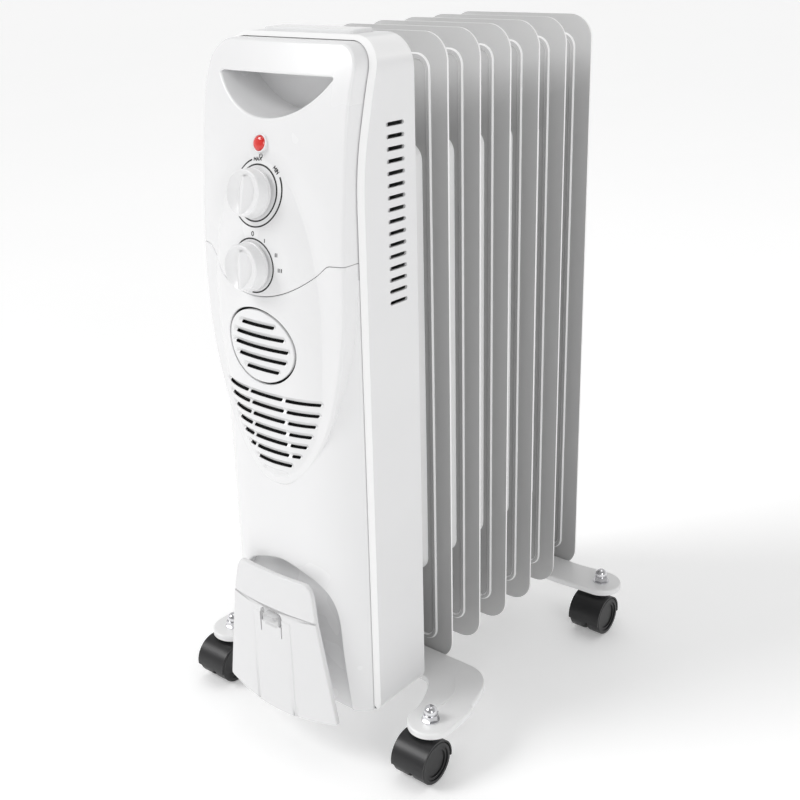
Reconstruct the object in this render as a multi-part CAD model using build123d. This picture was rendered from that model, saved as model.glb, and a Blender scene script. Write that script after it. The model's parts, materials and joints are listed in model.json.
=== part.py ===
from build123d import *
import os

# Oil filled radiator heater on castors. Millimetres, +Z up, front towards -Y, origin on the floor under the
# middle of its box. Seven steel fins stand in a row along Y, and a plastic control housing closes the front.

os.makedirs("parts", exist_ok=True)

# ---------------------------------------------------------------- driving dimensions
FIN_COUNT = 7
FIN_PITCH = 45.3
FIN_WIDTH = 164.0
FIN_HEIGHT = 590.0
FIN_BOTTOM = 41.5
FIN_CORNER = 23.3
FIN_SHEET = 1.0
FIRST_FIN_Y = -83.3
HUB_INSET = 54.0
HUB_RADIUS = 32.0
HUB_RISE = 13.0
HUB_BORE = 19.0
HUB_PIPE_WALL = 2.0

HOUSING_HALF = 84.0
HOUSING_TOP = 634.5
HOUSING_BOTTOM = 49.0
HOUSING_WALL = 2.2
HOUSING_TOP_CORNER = 26.0
HOUSING_BOTTOM_CORNER = 10.0
RIM_Y = -147.5
OPENING_HALF = 79.95
VENT_COUNT = 16
VENT_PITCH = 9.55
VENT_TOP = 568.5

FACE_HALF = 79.0
FACE_TOP = 630.5
FACE_CORNER = 21.5
TONGUE_START = 450.0
TONGUE_LENGTH = 186.0
COVER_WALL = 2.5
SEAM_SHOULDER_Z = 465.5
SEAM_DIP_Z = 435.4
SEAM_HALF = 65.0
SEAM_GAP = 0.4

THERMOSTAT_Z = 517.0
SELECTOR_Z = 460.0
LAMP_Z = 555.0
KNOB_BASE_R = 19.8
KNOB_FACE_R = 18.6
KNOB_HEIGHT = 12.5
SPINDLE_R = 3.0
SPINDLE_CLEARANCE = 0.35
LAMP_R = 6.5

GRILLE_Z = 391.7
GRILLE_HALF_WIDTH = 38.0
GRILLE_HALF_HEIGHT = 33.5

STEM_X = 126.0
FRONT_STEM_Y = -129.5
REAR_STEM_Y = 169.0
BRACKET_TOP = 50.0
BRACKET_SHEET = 2.0
BRACKET_RIM = 6.0
CASTOR_TRAIL = 14.0
WHEEL_R = 19.5
WHEEL_WIDTH = 14.5
CASTOR_WIDTH = 35.0
AXLE_R = 2.5

FIN_MID_Z = FIN_BOTTOM + FIN_HEIGHT / 2
LOWER_HUB_Z = FIN_BOTTOM + HUB_INSET
UPPER_HUB_Z = FIN_BOTTOM + FIN_HEIGHT - HUB_INSET
LAST_FIN_Y = FIRST_FIN_Y + (FIN_COUNT - 1) * FIN_PITCH
HUB_FACE = FIN_SHEET + HUB_RISE
HOUSING_REAR = FIRST_FIN_Y - FIN_SHEET
REAR_GAP_Y = LAST_FIN_Y - FIN_PITCH / 2
AXLE_Z = WHEEL_R


def save(name, *solids):
    """Write one named piece, or one group of separate solids, to its own STEP file."""
    shape = solids[0] if len(solids) == 1 else Compound(children=list(solids))
    export_step(shape, "parts/" + name + ".step")


def forward(sketch, y_back, y_front):
    """Extrude an X-Z outline from y_back towards the front, to y_front."""
    return extrude(Plane.XZ.offset(-y_back) * sketch, amount=y_back - y_front)


def rod(x, z, radius, y_back, y_front):
    """A round bar along Y."""
    return forward(Pos(x, z) * Circle(radius), y_back, y_front)


def rounded(width, height, radius, z_centre):
    return Pos(0, z_centre) * RectangleRounded(width, height, radius)


# ---------------------------------------------------------------- fins
RIB_INSET = 17.0
RIB_WIDTH = 5.0
RIB_RISE = 1.6
PANEL_INSET = 26.5
PANEL_END_INSET = 90.0
PANEL_RISE = 5.0
PANEL_CORNER = 16.0
CHANNEL_WIDTH = 62.0


def oil_chamber(gap):
    """The pressed bulge that holds the oil, gap smaller all round, standing up from z = 0."""
    panel_width = FIN_WIDTH - 2 * PANEL_INSET - 2 * gap
    panel_height = FIN_HEIGHT - 2 * PANEL_END_INSET - 2 * gap
    rise = FIN_SHEET + PANEL_RISE - gap
    panel = extrude(rounded(panel_width, panel_height, PANEL_CORNER, FIN_MID_Z), amount=rise, taper=35)
    channel_height = FIN_HEIGHT - 2 * HUB_INSET
    channel = extrude(rounded(CHANNEL_WIDTH - 2 * gap, channel_height, 20, FIN_MID_Z), amount=rise, taper=35)
    chamber = panel + channel
    for z in (LOWER_HUB_Z, UPPER_HUB_Z):
        hub = extrude(Pos(0, z) * Circle(HUB_RADIUS - gap), amount=HUB_FACE - gap, taper=30)
        chamber = chamber + hub
    return chamber


def fin_half(open_hubs):
    """One pressed sheet, lying in X-Y with its bulge towards +Z."""
    plate = extrude(rounded(FIN_WIDTH, FIN_HEIGHT, FIN_CORNER, FIN_MID_Z), amount=FIN_SHEET)
    rib_outer = rounded(FIN_WIDTH - 2 * RIB_INSET, FIN_HEIGHT - 2 * RIB_INSET, 14, FIN_MID_Z)
    inset = RIB_INSET + RIB_WIDTH
    rib_inner = rounded(FIN_WIDTH - 2 * inset, FIN_HEIGHT - 2 * inset, 10, FIN_MID_Z)
    rib = extrude(rib_outer - rib_inner, amount=FIN_SHEET + RIB_RISE)
    rib = chamfer(rib.faces().sort_by(Axis.Z)[-1].edges(), 1.2)
    half = plate + rib + oil_chamber(0)
    half = half - oil_chamber(FIN_SHEET)
    for z in open_hubs:
        half = half - extrude(Pos(0, z) * Circle(HUB_BORE), amount=2 * HUB_FACE)
    return half


FACE_FRONT = Rot(90, 0, 0)


def make_fins():
    both = (LOWER_HUB_Z, UPPER_HUB_Z)
    joined = fin_half(both)
    front_end = fin_half((LOWER_HUB_Z,))
    rear_end = fin_half(())
    for number in range(FIN_COUNT):
        y = FIRST_FIN_Y + number * FIN_PITCH
        front = front_end if number == 0 else joined
        rear = rear_end if number == FIN_COUNT - 1 else joined
        front_sheet = Pos(0, y, 0) * (FACE_FRONT * front)
        rear_sheet = Pos(0, y, 0) * mirror(FACE_FRONT * rear, Plane.XZ)
        save("fin_" + str(number + 1), front_sheet, rear_sheet)


def make_hub_pipes():
    """Short pipes that join the hubs of neighbouring fins, one row low and one row high."""
    for name, z in (("lower_hub_pipes", LOWER_HUB_Z), ("upper_hub_pipes", UPPER_HUB_Z)):
        pipes = []
        for number in range(FIN_COUNT - 1):
            back = FIRST_FIN_Y + (number + 1) * FIN_PITCH - HUB_FACE
            front = FIRST_FIN_Y + number * FIN_PITCH + HUB_FACE
            ring = Pos(0, z) * (Circle(HUB_BORE + HUB_PIPE_WALL) - Circle(HUB_BORE))
            pipes.append(forward(ring, back, front))
        save(name, *pipes)


# ---------------------------------------------------------------- heating element, cut-out, oil plug
FLANGE_R = 23.0
FLANGE_THICK = 4.0
ELEMENT_ROD_R = 4.0
ELEMENT_SPREAD = 8.0
PLUG_HEIGHT = 2.0


def make_element():
    flange_back = FIRST_FIN_Y - HUB_FACE
    flange_front = flange_back - FLANGE_THICK
    flange = rod(0, LOWER_HUB_Z, FLANGE_R, flange_back, flange_front)
    hexagon = Pos(0, LOWER_HUB_Z) * RegularPolygon(17, 6)
    flange = flange + forward(hexagon, flange_front, flange_front - 6)
    nose = flange_front - 6
    end = LAST_FIN_Y - 25
    rods = []
    for z_shift in (-ELEMENT_SPREAD, ELEMENT_SPREAD):
        z = LOWER_HUB_Z + z_shift
        side = ELEMENT_SPREAD
        front = nose - 12
        path = FilletPolyline((-side, front, z), (-side, end, z), (side, end, z), (side, front, z), radius=side - 0.5)
        tube = sweep(Plane((-side, front, z), z_dir=(0, 1, 0)) * Circle(ELEMENT_ROD_R), path=path)
        rods.append(tube)
        flange = flange - rod(-side, z, ELEMENT_ROD_R, 0, nose - 1) - rod(side, z, ELEMENT_ROD_R, 0, nose - 1)
    save("heating_element", *rods)
    save("element_flange", flange)

    plug_front = FIRST_FIN_Y - HUB_FACE
    cutout = rod(0, UPPER_HUB_Z, 12, plug_front, plug_front - 3)
    cutout = cutout + rod(0, UPPER_HUB_Z, 8.5, plug_front - 3, plug_front - 12)
    save("thermal_cutout", cutout)

    plug_back = LAST_FIN_Y + HUB_FACE
    plug = rod(0, UPPER_HUB_Z, 11, plug_back + PLUG_HEIGHT, plug_back)
    socket = forward(Pos(0, UPPER_HUB_Z) * RegularPolygon(4, 6), plug_back + 5, plug_back + 0.8)
    save("oil_filler_plug", plug - socket)


# ---------------------------------------------------------------- control housing
# The front rim stands upright as far as RIM_LEAN_Z and leans back above it.
RIM_LEAN_Z = 505.0
RIM_TOP_Y = -119.5
RIM_BAND = 4.5
HOUSING_MID_Z = (HOUSING_TOP + HOUSING_BOTTOM) / 2


def rim_profile(shift):
    """Side outline of the housing, Y-Z, with its front moved shift forward."""
    front = RIM_Y - shift
    top = RIM_TOP_Y - shift
    low = HOUSING_BOTTOM - 30
    high = HOUSING_TOP + 30
    lean = Spline(
        (front, RIM_LEAN_Z),
        (front + 3.0, 548),
        (front + 10.5, 582),
        (top, HOUSING_TOP + 2),
        tangents=((0, 1), (0.45, 1)),
    )
    outline = Polyline(
        (top, HOUSING_TOP + 2),
        (top + 12, high),
        (HOUSING_REAR, high),
        (HOUSING_REAR, low),
        (front, low),
        (front, RIM_LEAN_Z),
    )
    return make_face(lean + outline)


def housing_block(inset, shift):
    """The housing as a solid block, inset smaller all round in front view, its front moved shift forward."""
    width = 2 * (HOUSING_HALF - inset)
    height = HOUSING_TOP - HOUSING_BOTTOM - 2 * inset
    top_part = rounded(width, height, HOUSING_TOP_CORNER - inset, HOUSING_MID_Z)
    floor = HOUSING_BOTTOM + inset
    square = Pos(0, floor + 60) * Rectangle(width, 120)
    foot = rounded(width, 300, HOUSING_BOTTOM_CORNER - inset, floor + 150)
    front_view = (top_part - square) + (foot & square)
    block = forward(front_view, HOUSING_REAR, RIM_Y - 30)
    side = extrude(Plane.YZ.offset(-HOUSING_HALF - 5) * rim_profile(shift), amount=2 * HOUSING_HALF + 10)
    return block & side


def opening_outline(half, top, corner, low):
    """Front opening: straight sides, round top corners, square foot."""
    sketch = rounded(2 * half, 2 * (top - low), corner, low)
    return sketch & (Pos(0, low + 400) * Rectangle(4 * half, 800))


def on_front(edge):
    """True for the edges round the front face of the housing block."""
    return max(edge.position_at(0.5).Y, edge.position_at(0).Y, edge.position_at(1).Y) < RIM_TOP_Y


def make_housing():
    """Box round the controls: sides, top and floor, a bevelled front rim and a row of vents in each side."""
    block = housing_block(0, RIM_BAND)
    block = chamfer(block.edges().filter_by(on_front), RIM_BAND - 0.3)
    shell = block - housing_block(HOUSING_WALL, -6)
    opening = opening_outline(OPENING_HALF, FACE_TOP + 0.5, FACE_CORNER + 0.5, HOUSING_BOTTOM + 3)
    shell = shell - forward(opening, RIM_TOP_Y + 15, RIM_Y - 40)
    for number in range(VENT_COUNT):
        z = VENT_TOP - number * VENT_PITCH
        outline = Plane.YZ.offset(-HOUSING_HALF - 5) * (Pos(VENT_Y, z) * SlotOverall(VENT_LENGTH, VENT_HEIGHT))
        shell = shell - extrude(outline, amount=2 * HOUSING_HALF + 10)
    gland_hole = Plane.XY.offset(HOUSING_BOTTOM - 5) * (Pos(GLAND_X, GLAND_Y) * Circle(GLAND_R))
    return shell - extrude(gland_hole, amount=20)


GLAND_X = -44.0
GLAND_Y = -118.0
GLAND_R = 6.5
VENT_Y = -109.0
VENT_LENGTH = 22.0
VENT_HEIGHT = 3.4
SHIELD_THICK = 1.2


def make_heat_shield():
    """Sheet between the hot fins and the controls, seated on the hubs of the first fin."""
    back = FIRST_FIN_Y - HUB_FACE
    width = 2 * (HOUSING_HALF - HOUSING_WALL) - 0.6
    height = HOUSING_TOP - HOUSING_BOTTOM - 2 * HOUSING_WALL - 0.6
    sheet = forward(rounded(width, height, 23, HOUSING_MID_Z), back, back - SHIELD_THICK)
    sheet = sheet - rod(0, LOWER_HUB_Z, FLANGE_R + 0.5, 0, back - 9)
    sheet = sheet - rod(0, UPPER_HUB_Z, 12.5, 0, back - 9)
    return sheet


# ---------------------------------------------------------------- front covers
# The control face bulges forward most at mid height. Each station is a height, the Y of the face on its
# middle line, and how far its edges fall back from that.
FACE_STATIONS = (
    (240, -180.5, 18.0),
    (347, -186.0, 18.0),
    (391, -189.5, 20.0),
    (430, -190.8, 21.0),
    (460, -189.8, 20.7),
    (517, -182.2, 17.4),
    (555, -173.5, 12.4),
    (590, -162.1, 6.3),
    (645, -135.1, 0.4),
)
FACE_REACH = 95.0
BASE_MIDDLE_Y = -177.5
BASE_FALL = 24.0
COVER_BACK = -140.0
TONGUE_BACK = -112.0


def face_body(shift):
    """Everything behind the bulging control face, the face moved shift back."""
    sections = []
    for z, middle, fall in FACE_STATIONS:
        edge_y = middle + fall * (FACE_REACH / FACE_HALF) ** 2 + shift
        back_y = -60
        arc = ThreePointArc((-FACE_REACH, edge_y, z), (0, middle + shift, z), (FACE_REACH, edge_y, z))
        sides = Polyline((FACE_REACH, edge_y, z), (FACE_REACH, back_y, z), (-FACE_REACH, back_y, z),
                         (-FACE_REACH, edge_y, z))
        sections.append(make_face(arc + sides))
    return loft(sections)


def tongue_outline(inset):
    """Front view of the raised control face: square shoulders above, a long half ellipse below."""
    half = FACE_HALF - inset
    top = FACE_TOP - inset
    upper = rounded(2 * half, 2 * (top - TONGUE_START), FACE_CORNER - inset, TONGUE_START)
    upper = upper & (Pos(0, TONGUE_START + 200) * Rectangle(400, 400))
    lower = Pos(0, TONGUE_START) * Ellipse(half, TONGUE_LENGTH - inset)
    lower = lower & (Pos(0, TONGUE_START - 200) * Rectangle(400, 400))
    return upper + lower


def base_section(inset):
    """Plan of the lower cover: gently bowed, turning back at its sides."""
    half = FACE_HALF - inset
    front = [(part * half, BASE_MIDDLE_Y + inset + BASE_FALL * abs(part) ** 3.5)
             for part in (-1, -0.82, -0.6, -0.3, 0, 0.3, 0.6, 0.82, 1)]
    bow = Spline(*front)
    back = COVER_BACK + (5 if inset else 0)
    sides = Polyline(front[-1], (half, back), (-half, back), front[0])
    return make_face(bow + sides)


def base_body(inset):
    foot = HOUSING_BOTTOM + 3.3 + inset
    return extrude(Plane.XY.offset(foot) * base_section(inset), amount=SEAM_SHOULDER_Z - foot)


def above_seam(shift):
    """Front view of all that lies above the joint of the two covers, its edge moved up by shift."""
    shoulder = SEAM_SHOULDER_Z + shift
    dip = ThreePointArc((-SEAM_HALF, shoulder), (0, SEAM_DIP_Z + shift), (SEAM_HALF, shoulder))
    frame = Polyline((SEAM_HALF, shoulder), (100, shoulder), (100, 700), (-100, 700), (-100, shoulder),
                     (-SEAM_HALF, shoulder))
    return make_face(dip + frame)


GRIP_HALF = 62.0
GRIP_TOP_Z = 606.0
GRIP_LOW_Z = 573.5
GRIP_BACK_Y = -114.0
KNOB_TILT = {THERMOSTAT_Z: 11.0, SELECTOR_Z: 4.0}
LAMP_TILT = 15.0
FACE_Y = {z: middle for z, middle, fall in FACE_STATIONS}


def grip_outline(grow):
    """Half moon of the hand grip, grow larger all round."""
    arc = ThreePointArc((-GRIP_HALF, GRIP_TOP_Z), (0, GRIP_LOW_Z), (GRIP_HALF, GRIP_TOP_Z))
    moon = make_face(arc + Line((GRIP_HALF, GRIP_TOP_Z), (-GRIP_HALF, GRIP_TOP_Z)))
    moon = fillet(moon.vertices(), 2.5)
    return offset(moon, grow) if grow else moon


def face_plane(z, tilt, out):
    """Plane on the control face's middle line, tilted up with the face, out in front of it."""
    plane = Plane(origin=(0, FACE_Y[z], z), x_dir=(1, 0, 0), z_dir=Vector(0, -1, 0).rotate(Axis.X, -tilt))
    return plane.offset(out)


def tongue_shell():
    outer = forward(tongue_outline(0), TONGUE_BACK, -220) & face_body(0)
    inner = forward(tongue_outline(COVER_WALL), TONGUE_BACK + 10, -220) & face_body(COVER_WALL)
    return outer, inner


def make_control_cover():
    """Upper cover: hand grip, lamp and two knobs."""
    outer, inner = tongue_shell()
    cover = outer - inner
    pocket = forward(grip_outline(COVER_WALL), GRIP_BACK_Y + COVER_WALL, -200) & outer
    cover = cover + pocket
    cover = cover - forward(grip_outline(0), GRIP_BACK_Y, -220)
    cover = cover & forward(above_seam(SEAM_GAP / 2), -60, -230)
    for z, tilt in KNOB_TILT.items():
        hole = face_plane(z, tilt, -12) * Circle(SPINDLE_R + SPINDLE_CLEARANCE)
        cover = cover - extrude(hole, amount=30)
    cover = cover - extrude(face_plane(LAMP_Z, LAMP_TILT, -12) * Circle(LAMP_R + 0.1), amount=30)
    return cover


ROW_TOP_Z = 347.0
ROW_PITCH = 10.3
ROW_HALF_WIDTHS = (53.0, 50.5, 46.5, 42.0, 36.5, 29.5, 19.5)
ROW_BRIDGE_X = 20.0
ROW_HEIGHT = 2.6
BRIDGE = 2.6


def slot_row(half, z, bridges):
    """One grille slot, sagging a little, left whole or split by two bridges."""
    slot = Pos(0, z) * SlotOverall(2 * half, ROW_HEIGHT)
    if bridges:
        for side in (-1, 1):
            slot = slot - Pos(side * ROW_BRIDGE_X, z) * Rectangle(BRIDGE, 2 * ROW_HEIGHT)
    return slot


ARCH_FLOOR_Y = -163.0


def arch_outline(grow):
    """The cord recess in front view, a tall arch wider at its foot, grow larger all round."""
    spring = 59 + grow
    haunch = 54.5 + grow
    shoulder = 31 + 0.6 * grow
    crown = Spline((-spring, 116), (-haunch, 155), (-shoulder, 181.5 + 0.8 * grow), (0, 189 + grow),
                   (shoulder, 181.5 + 0.8 * grow), (haunch, 155), (spring, 116))
    foot = Polyline((spring, 116), (66 + grow, 20), (-66 - grow, 20), (-spring, 116))
    return make_face(crown + foot)


def make_lower_cover():
    """Lower cover: bowed panel, the foot of the raised face with its grille, and the cord recess."""
    tongue_outer, tongue_inner = tongue_shell()
    outer = base_body(0) + (tongue_outer & forward(Pos(0, 300) * Rectangle(300, 331), -60, COVER_BACK * 2))
    inner = base_body(COVER_WALL) + (tongue_inner & forward(Pos(0, 300) * Rectangle(290, 340), -60, -300))
    cover = outer - inner
    recess = forward(arch_outline(COVER_WALL), ARCH_FLOOR_Y + COVER_WALL, -210) & outer
    cover = cover + recess
    cover = cover - forward(arch_outline(0), ARCH_FLOOR_Y, -230)
    cover = cover - forward(above_seam(-SEAM_GAP / 2), -60, -230)
    for number, half in enumerate(ROW_HALF_WIDTHS):
        slot = slot_row(half, ROW_TOP_Z - number * ROW_PITCH, number < len(ROW_HALF_WIDTHS) - 1)
        cover = cover - forward(slot, -150, -230)
    hole = Pos(0, GRILLE_Z) * Ellipse(GRILLE_HALF_WIDTH + 0.4, GRILLE_HALF_HEIGHT + 0.4)
    return cover - forward(hole, -150, -230)


GRILLE_ROWS = (21.5, 30.0, 33.0, 30.0, 21.5)
GRILLE_PITCH = 9.8


def make_round_grille():
    """Oval louvre in the lower cover, held by a lip behind."""
    oval = Pos(0, GRILLE_Z) * Ellipse(GRILLE_HALF_WIDTH - 0.4, GRILLE_HALF_HEIGHT - 0.4)
    lip = Pos(0, GRILLE_Z) * Ellipse(GRILLE_HALF_WIDTH + 4, GRILLE_HALF_HEIGHT + 4)
    face = forward(oval, -150, -220) & (face_body(0) - face_body(COVER_WALL + 0.1))
    rim = forward(lip, -150, -220) & (face_body(COVER_WALL + 0.1) - face_body(COVER_WALL + 2))
    grille = face + rim
    middle = (len(GRILLE_ROWS) - 1) / 2
    for number, half in enumerate(GRILLE_ROWS):
        slot = slot_row(half, GRILLE_Z + (middle - number) * GRILLE_PITCH, False)
        grille = grille - forward(slot, -150, -230)
    return grille


CAP_WIDTH = 98.0
CAP_DEPTH = 27.0
CAP_RISE = 3.0


def make_top_cap():
    """Low cap on the housing's roof, over its top screws."""
    roof = Plane.XY.offset(HOUSING_TOP)
    centre_y = HOUSING_REAR - 4 - CAP_DEPTH / 2
    cap = extrude(roof * (Pos(0, centre_y) * RectangleRounded(CAP_WIDTH, CAP_DEPTH, 5)), amount=CAP_RISE)
    cap = chamfer(cap.faces().sort_by(Axis.Z)[-1].edges(), 1.0)
    return cap


# ---------------------------------------------------------------- knobs, lamp and what they work
SCOOP_R = 15.9
SCOOP_DEPTH = 5.0
GRIP_BLADE = 12.0
KNOB_STANDOFF = 1.3


def make_knob(z, tilt):
    """Dial: tapered drum, a dished face and a lens shaped grip across it."""
    base = face_plane(z, tilt, KNOB_STANDOFF)
    top = base.offset(KNOB_HEIGHT)
    drum = loft([base * Circle(KNOB_BASE_R), top * Circle(KNOB_FACE_R)])
    drum = fillet(drum.edges().filter_by(GeomType.CIRCLE).sort_by(lambda e: e.radius)[0], 1.2)
    blade_half = SCOOP_R + 2
    circle_r = (blade_half ** 2 + (GRIP_BLADE / 2) ** 2) / GRIP_BLADE
    lens = (Pos(circle_r - GRIP_BLADE / 2, 0) * Circle(circle_r)) & (Pos(GRIP_BLADE / 2 - circle_r, 0)
                                                                      * Circle(circle_r))
    scoop = Circle(SCOOP_R) - lens
    drum = drum - extrude(top * scoop, amount=-SCOOP_DEPTH)
    hub = extrude(base * Circle(SPINDLE_R), amount=KNOB_HEIGHT - SCOOP_DEPTH - 1.5)
    return drum - hub


def make_spindle(z, tilt):
    start = face_plane(z, tilt, KNOB_STANDOFF + KNOB_HEIGHT - SCOOP_DEPTH - 1.5)
    return extrude(start * Circle(SPINDLE_R), amount=-SPINDLE_REACH)


SPINDLE_REACH = 20.0
BODY_GAP = 4.0


def make_switch_body(z, tilt, width, height, depth):
    """Box behind the cover that the spindle turns in."""
    front = face_plane(z, tilt, -BODY_GAP)
    body = extrude(front * RectangleRounded(width, height, 3), amount=-depth)
    bush = extrude(front * Circle(6), amount=-depth)
    body = body + bush
    bore = extrude(face_plane(z, tilt, 2) * Circle(SPINDLE_R + SPINDLE_CLEARANCE), amount=-SPINDLE_REACH - 1)
    return body - bore


def make_lamp():
    lens_base = face_plane(LAMP_Z, LAMP_TILT, -3.5)
    lens = extrude(lens_base * Circle(LAMP_R), amount=5)
    lens = fillet(lens.edges().sort_by(lambda e: e.center().Y)[0], 2.0)
    body = extrude(lens_base * Circle(5), amount=-14)
    body = body - extrude(lens_base.offset(-11) * Circle(3), amount=-6)
    return lens, body


def make_terminal_block():
    """Row of mains terminals screwed to the heat shield."""
    back = FIRST_FIN_Y - HUB_FACE - SHIELD_THICK
    block = forward(Pos(0, 250) * Rectangle(60, 22), back, back - 16)
    for number in range(4):
        x = -22.5 + number * 15
        block = block - rod(x, 250, 3.2, back - 6, back - 20)
    return block


# ---------------------------------------------------------------- cord keeping
PLATE_FRONT_Y = -196.4
PLATE_THICK = 4.6
PLATE_CROWN_R = 286.0
PLATE_TOP_Z = 183.0
PLATE_SHOULDER_Z = 172.0
PLATE_FOOT_Z = 54.0
PLATE_SAG = 10.1
PLATE_TOP_HALF = 41.0
PLATE_SHOULDER_HALF = 46.2
PLATE_FOOT_HALF = 66.6
CLIP_HALF = 13.2
CLIP_TOP_Z = 147.3
CLIP_LOW_Z = 133.5
CLIP_SLIT_LOW_Z = 122.5
CLIP_SLIT_WIDTH = 1.3
TAB_HALF = 9.4
TAB_TOP_Z = 143.3


def plate_outline():
    """Front view of the plate: narrow top, flaring sides and a sagging foot."""
    sides = Polyline((-PLATE_FOOT_HALF, PLATE_FOOT_Z), (-PLATE_SHOULDER_HALF, PLATE_SHOULDER_Z),
                     (-PLATE_TOP_HALF, PLATE_TOP_Z), (PLATE_TOP_HALF, PLATE_TOP_Z),
                     (PLATE_SHOULDER_HALF, PLATE_SHOULDER_Z), (PLATE_FOOT_HALF, PLATE_FOOT_Z))
    foot = ThreePointArc((PLATE_FOOT_HALF, PLATE_FOOT_Z), (0, PLATE_FOOT_Z - PLATE_SAG),
                         (-PLATE_FOOT_HALF, PLATE_FOOT_Z))
    outline = make_face(sides + foot)
    return fillet(outline.vertices().filter_by(lambda v: v.Y > PLATE_TOP_Z - 1), 6)


def clip_outline():
    """Opening round the plug clip, with a slit down each side of it."""
    opening = Pos(0, (CLIP_TOP_Z + CLIP_LOW_Z) / 2) * Rectangle(2 * CLIP_HALF, CLIP_TOP_Z - CLIP_LOW_Z)
    opening = opening - Pos(0, (TAB_TOP_Z + CLIP_LOW_Z) / 2) * Rectangle(2 * TAB_HALF, TAB_TOP_Z - CLIP_LOW_Z)
    slit = Rectangle(CLIP_SLIT_WIDTH, CLIP_LOW_Z - CLIP_SLIT_LOW_Z + 1)
    for side in (-1, 1):
        x = side * (CLIP_HALF - CLIP_SLIT_WIDTH / 2)
        opening = opening + Pos(x, (CLIP_LOW_Z + CLIP_SLIT_LOW_Z + 1) / 2) * slit
    return opening


def crown(radius):
    """Upright drum that gives the plate its crowned front, or its back when smaller."""
    return Pos(0, PLATE_FRONT_Y + PLATE_CROWN_R, PLATE_TOP_Z / 2) * Cylinder(radius, 2 * PLATE_TOP_Z)


def make_wrap_plate():
    """Crowned plate that the cord winds behind, on a drum, with a clip for the plug."""
    front = PLATE_FRONT_Y - 5
    blank = forward(plate_outline(), PLATE_FRONT_Y + 30, front) & crown(PLATE_CROWN_R)
    plate = blank - crown(PLATE_CROWN_R - PLATE_THICK)
    plate = plate - forward(clip_outline(), PLATE_FRONT_Y + 30, front)
    drum = forward(rounded(46, 56, 20, 92), ARCH_FLOOR_Y, PLATE_FRONT_Y + PLATE_THICK / 2)
    return plate + drum


CORD_HOLE_R = 4.2


def make_gland():
    """Cord entry bush in the housing floor."""
    base = Plane.XY.offset(HOUSING_BOTTOM)
    spot = Pos(GLAND_X, GLAND_Y)
    gland = extrude(base * (spot * Circle(9)), amount=-3)
    gland = gland + extrude(base * (spot * Circle(GLAND_R)), amount=10)
    return gland - extrude(base.offset(-4) * (spot * Circle(CORD_HOLE_R)), amount=20)


def make_cover_screws():
    """Screws from behind that hold the covers to the rim: one in each corner of the heat shield."""
    screws = []
    back = FIRST_FIN_Y - HUB_FACE
    for x in (-70, 70):
        for z in (90, 330, 545):
            screw = rod(x, z, 3.5, back + 2, back)
            screws.append(screw)
    return screws


# ---------------------------------------------------------------- foot brackets
PIPE_R = HUB_BORE + HUB_PIPE_WALL
FRONT_GAP_Y = FIRST_FIN_Y + FIN_PITCH / 2
BOLT_R = 2.5
BOLT_X = PIPE_R + BOLT_R + 0.15
GAP_PLAY = 2.4
TIP_R = 21.0
EMBOSS_RISE = 0.8


def front_bracket_half(inset):
    """Right half of the front bracket in plan, inset smaller all round: a bar in the fin gap with a horn
    that curls forward."""
    back = FIRST_FIN_Y + FIN_PITCH - GAP_PLAY - inset
    front = FIRST_FIN_Y + GAP_PLAY + inset
    tip_r = TIP_R - inset
    outer = Spline((106 - inset / 2, back), (121.5 - 0.35 * inset, -45 - 0.94 * inset),
                   (134.5 - 0.88 * inset, -60 - 0.47 * inset), (142.5 - inset, -90),
                   (STEM_X + tip_r, FRONT_STEM_Y), tangents=((1, 0), (0, -1)))
    tip = ThreePointArc((STEM_X + tip_r, FRONT_STEM_Y), (STEM_X, FRONT_STEM_Y - tip_r),
                        (STEM_X - tip_r, FRONT_STEM_Y))
    inner = Spline((STEM_X - tip_r, FRONT_STEM_Y), (101.5 + inset, -110), (94 + 0.8 * inset, -93 + 0.6 * inset),
                   (80, front), tangents=((0, 1), (-1, 0.25)))
    body = Polyline((80, front), (0, front), (0, back), (106 - inset / 2, back))
    return make_face(outer + tip + inner + body)


def rear_bracket_half(inset):
    """Right half of the rear bracket in plan, inset smaller all round: a bar that ends round the castor."""
    half = FIN_PITCH / 2 - GAP_PLAY - inset
    tip_r = TIP_R - inset
    back = Spline((84, REAR_GAP_Y + half), (STEM_X, REAR_STEM_Y + tip_r), tangents=((1, 0), (1, 0)))
    tip = ThreePointArc((STEM_X, REAR_STEM_Y + tip_r), (STEM_X + tip_r, REAR_STEM_Y), (STEM_X, REAR_STEM_Y - tip_r))
    front = Spline((STEM_X, REAR_STEM_Y - tip_r), (84, REAR_GAP_Y - half), tangents=((-1, 0), (-1, 0)))
    body = Polyline((84, REAR_GAP_Y - half), (0, REAR_GAP_Y - half), (0, REAR_GAP_Y + half),
                    (84, REAR_GAP_Y + half))
    return make_face(back + tip + front + body)


def whole_plan(half_plan):
    return half_plan + mirror(half_plan, Plane.YZ)


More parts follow.
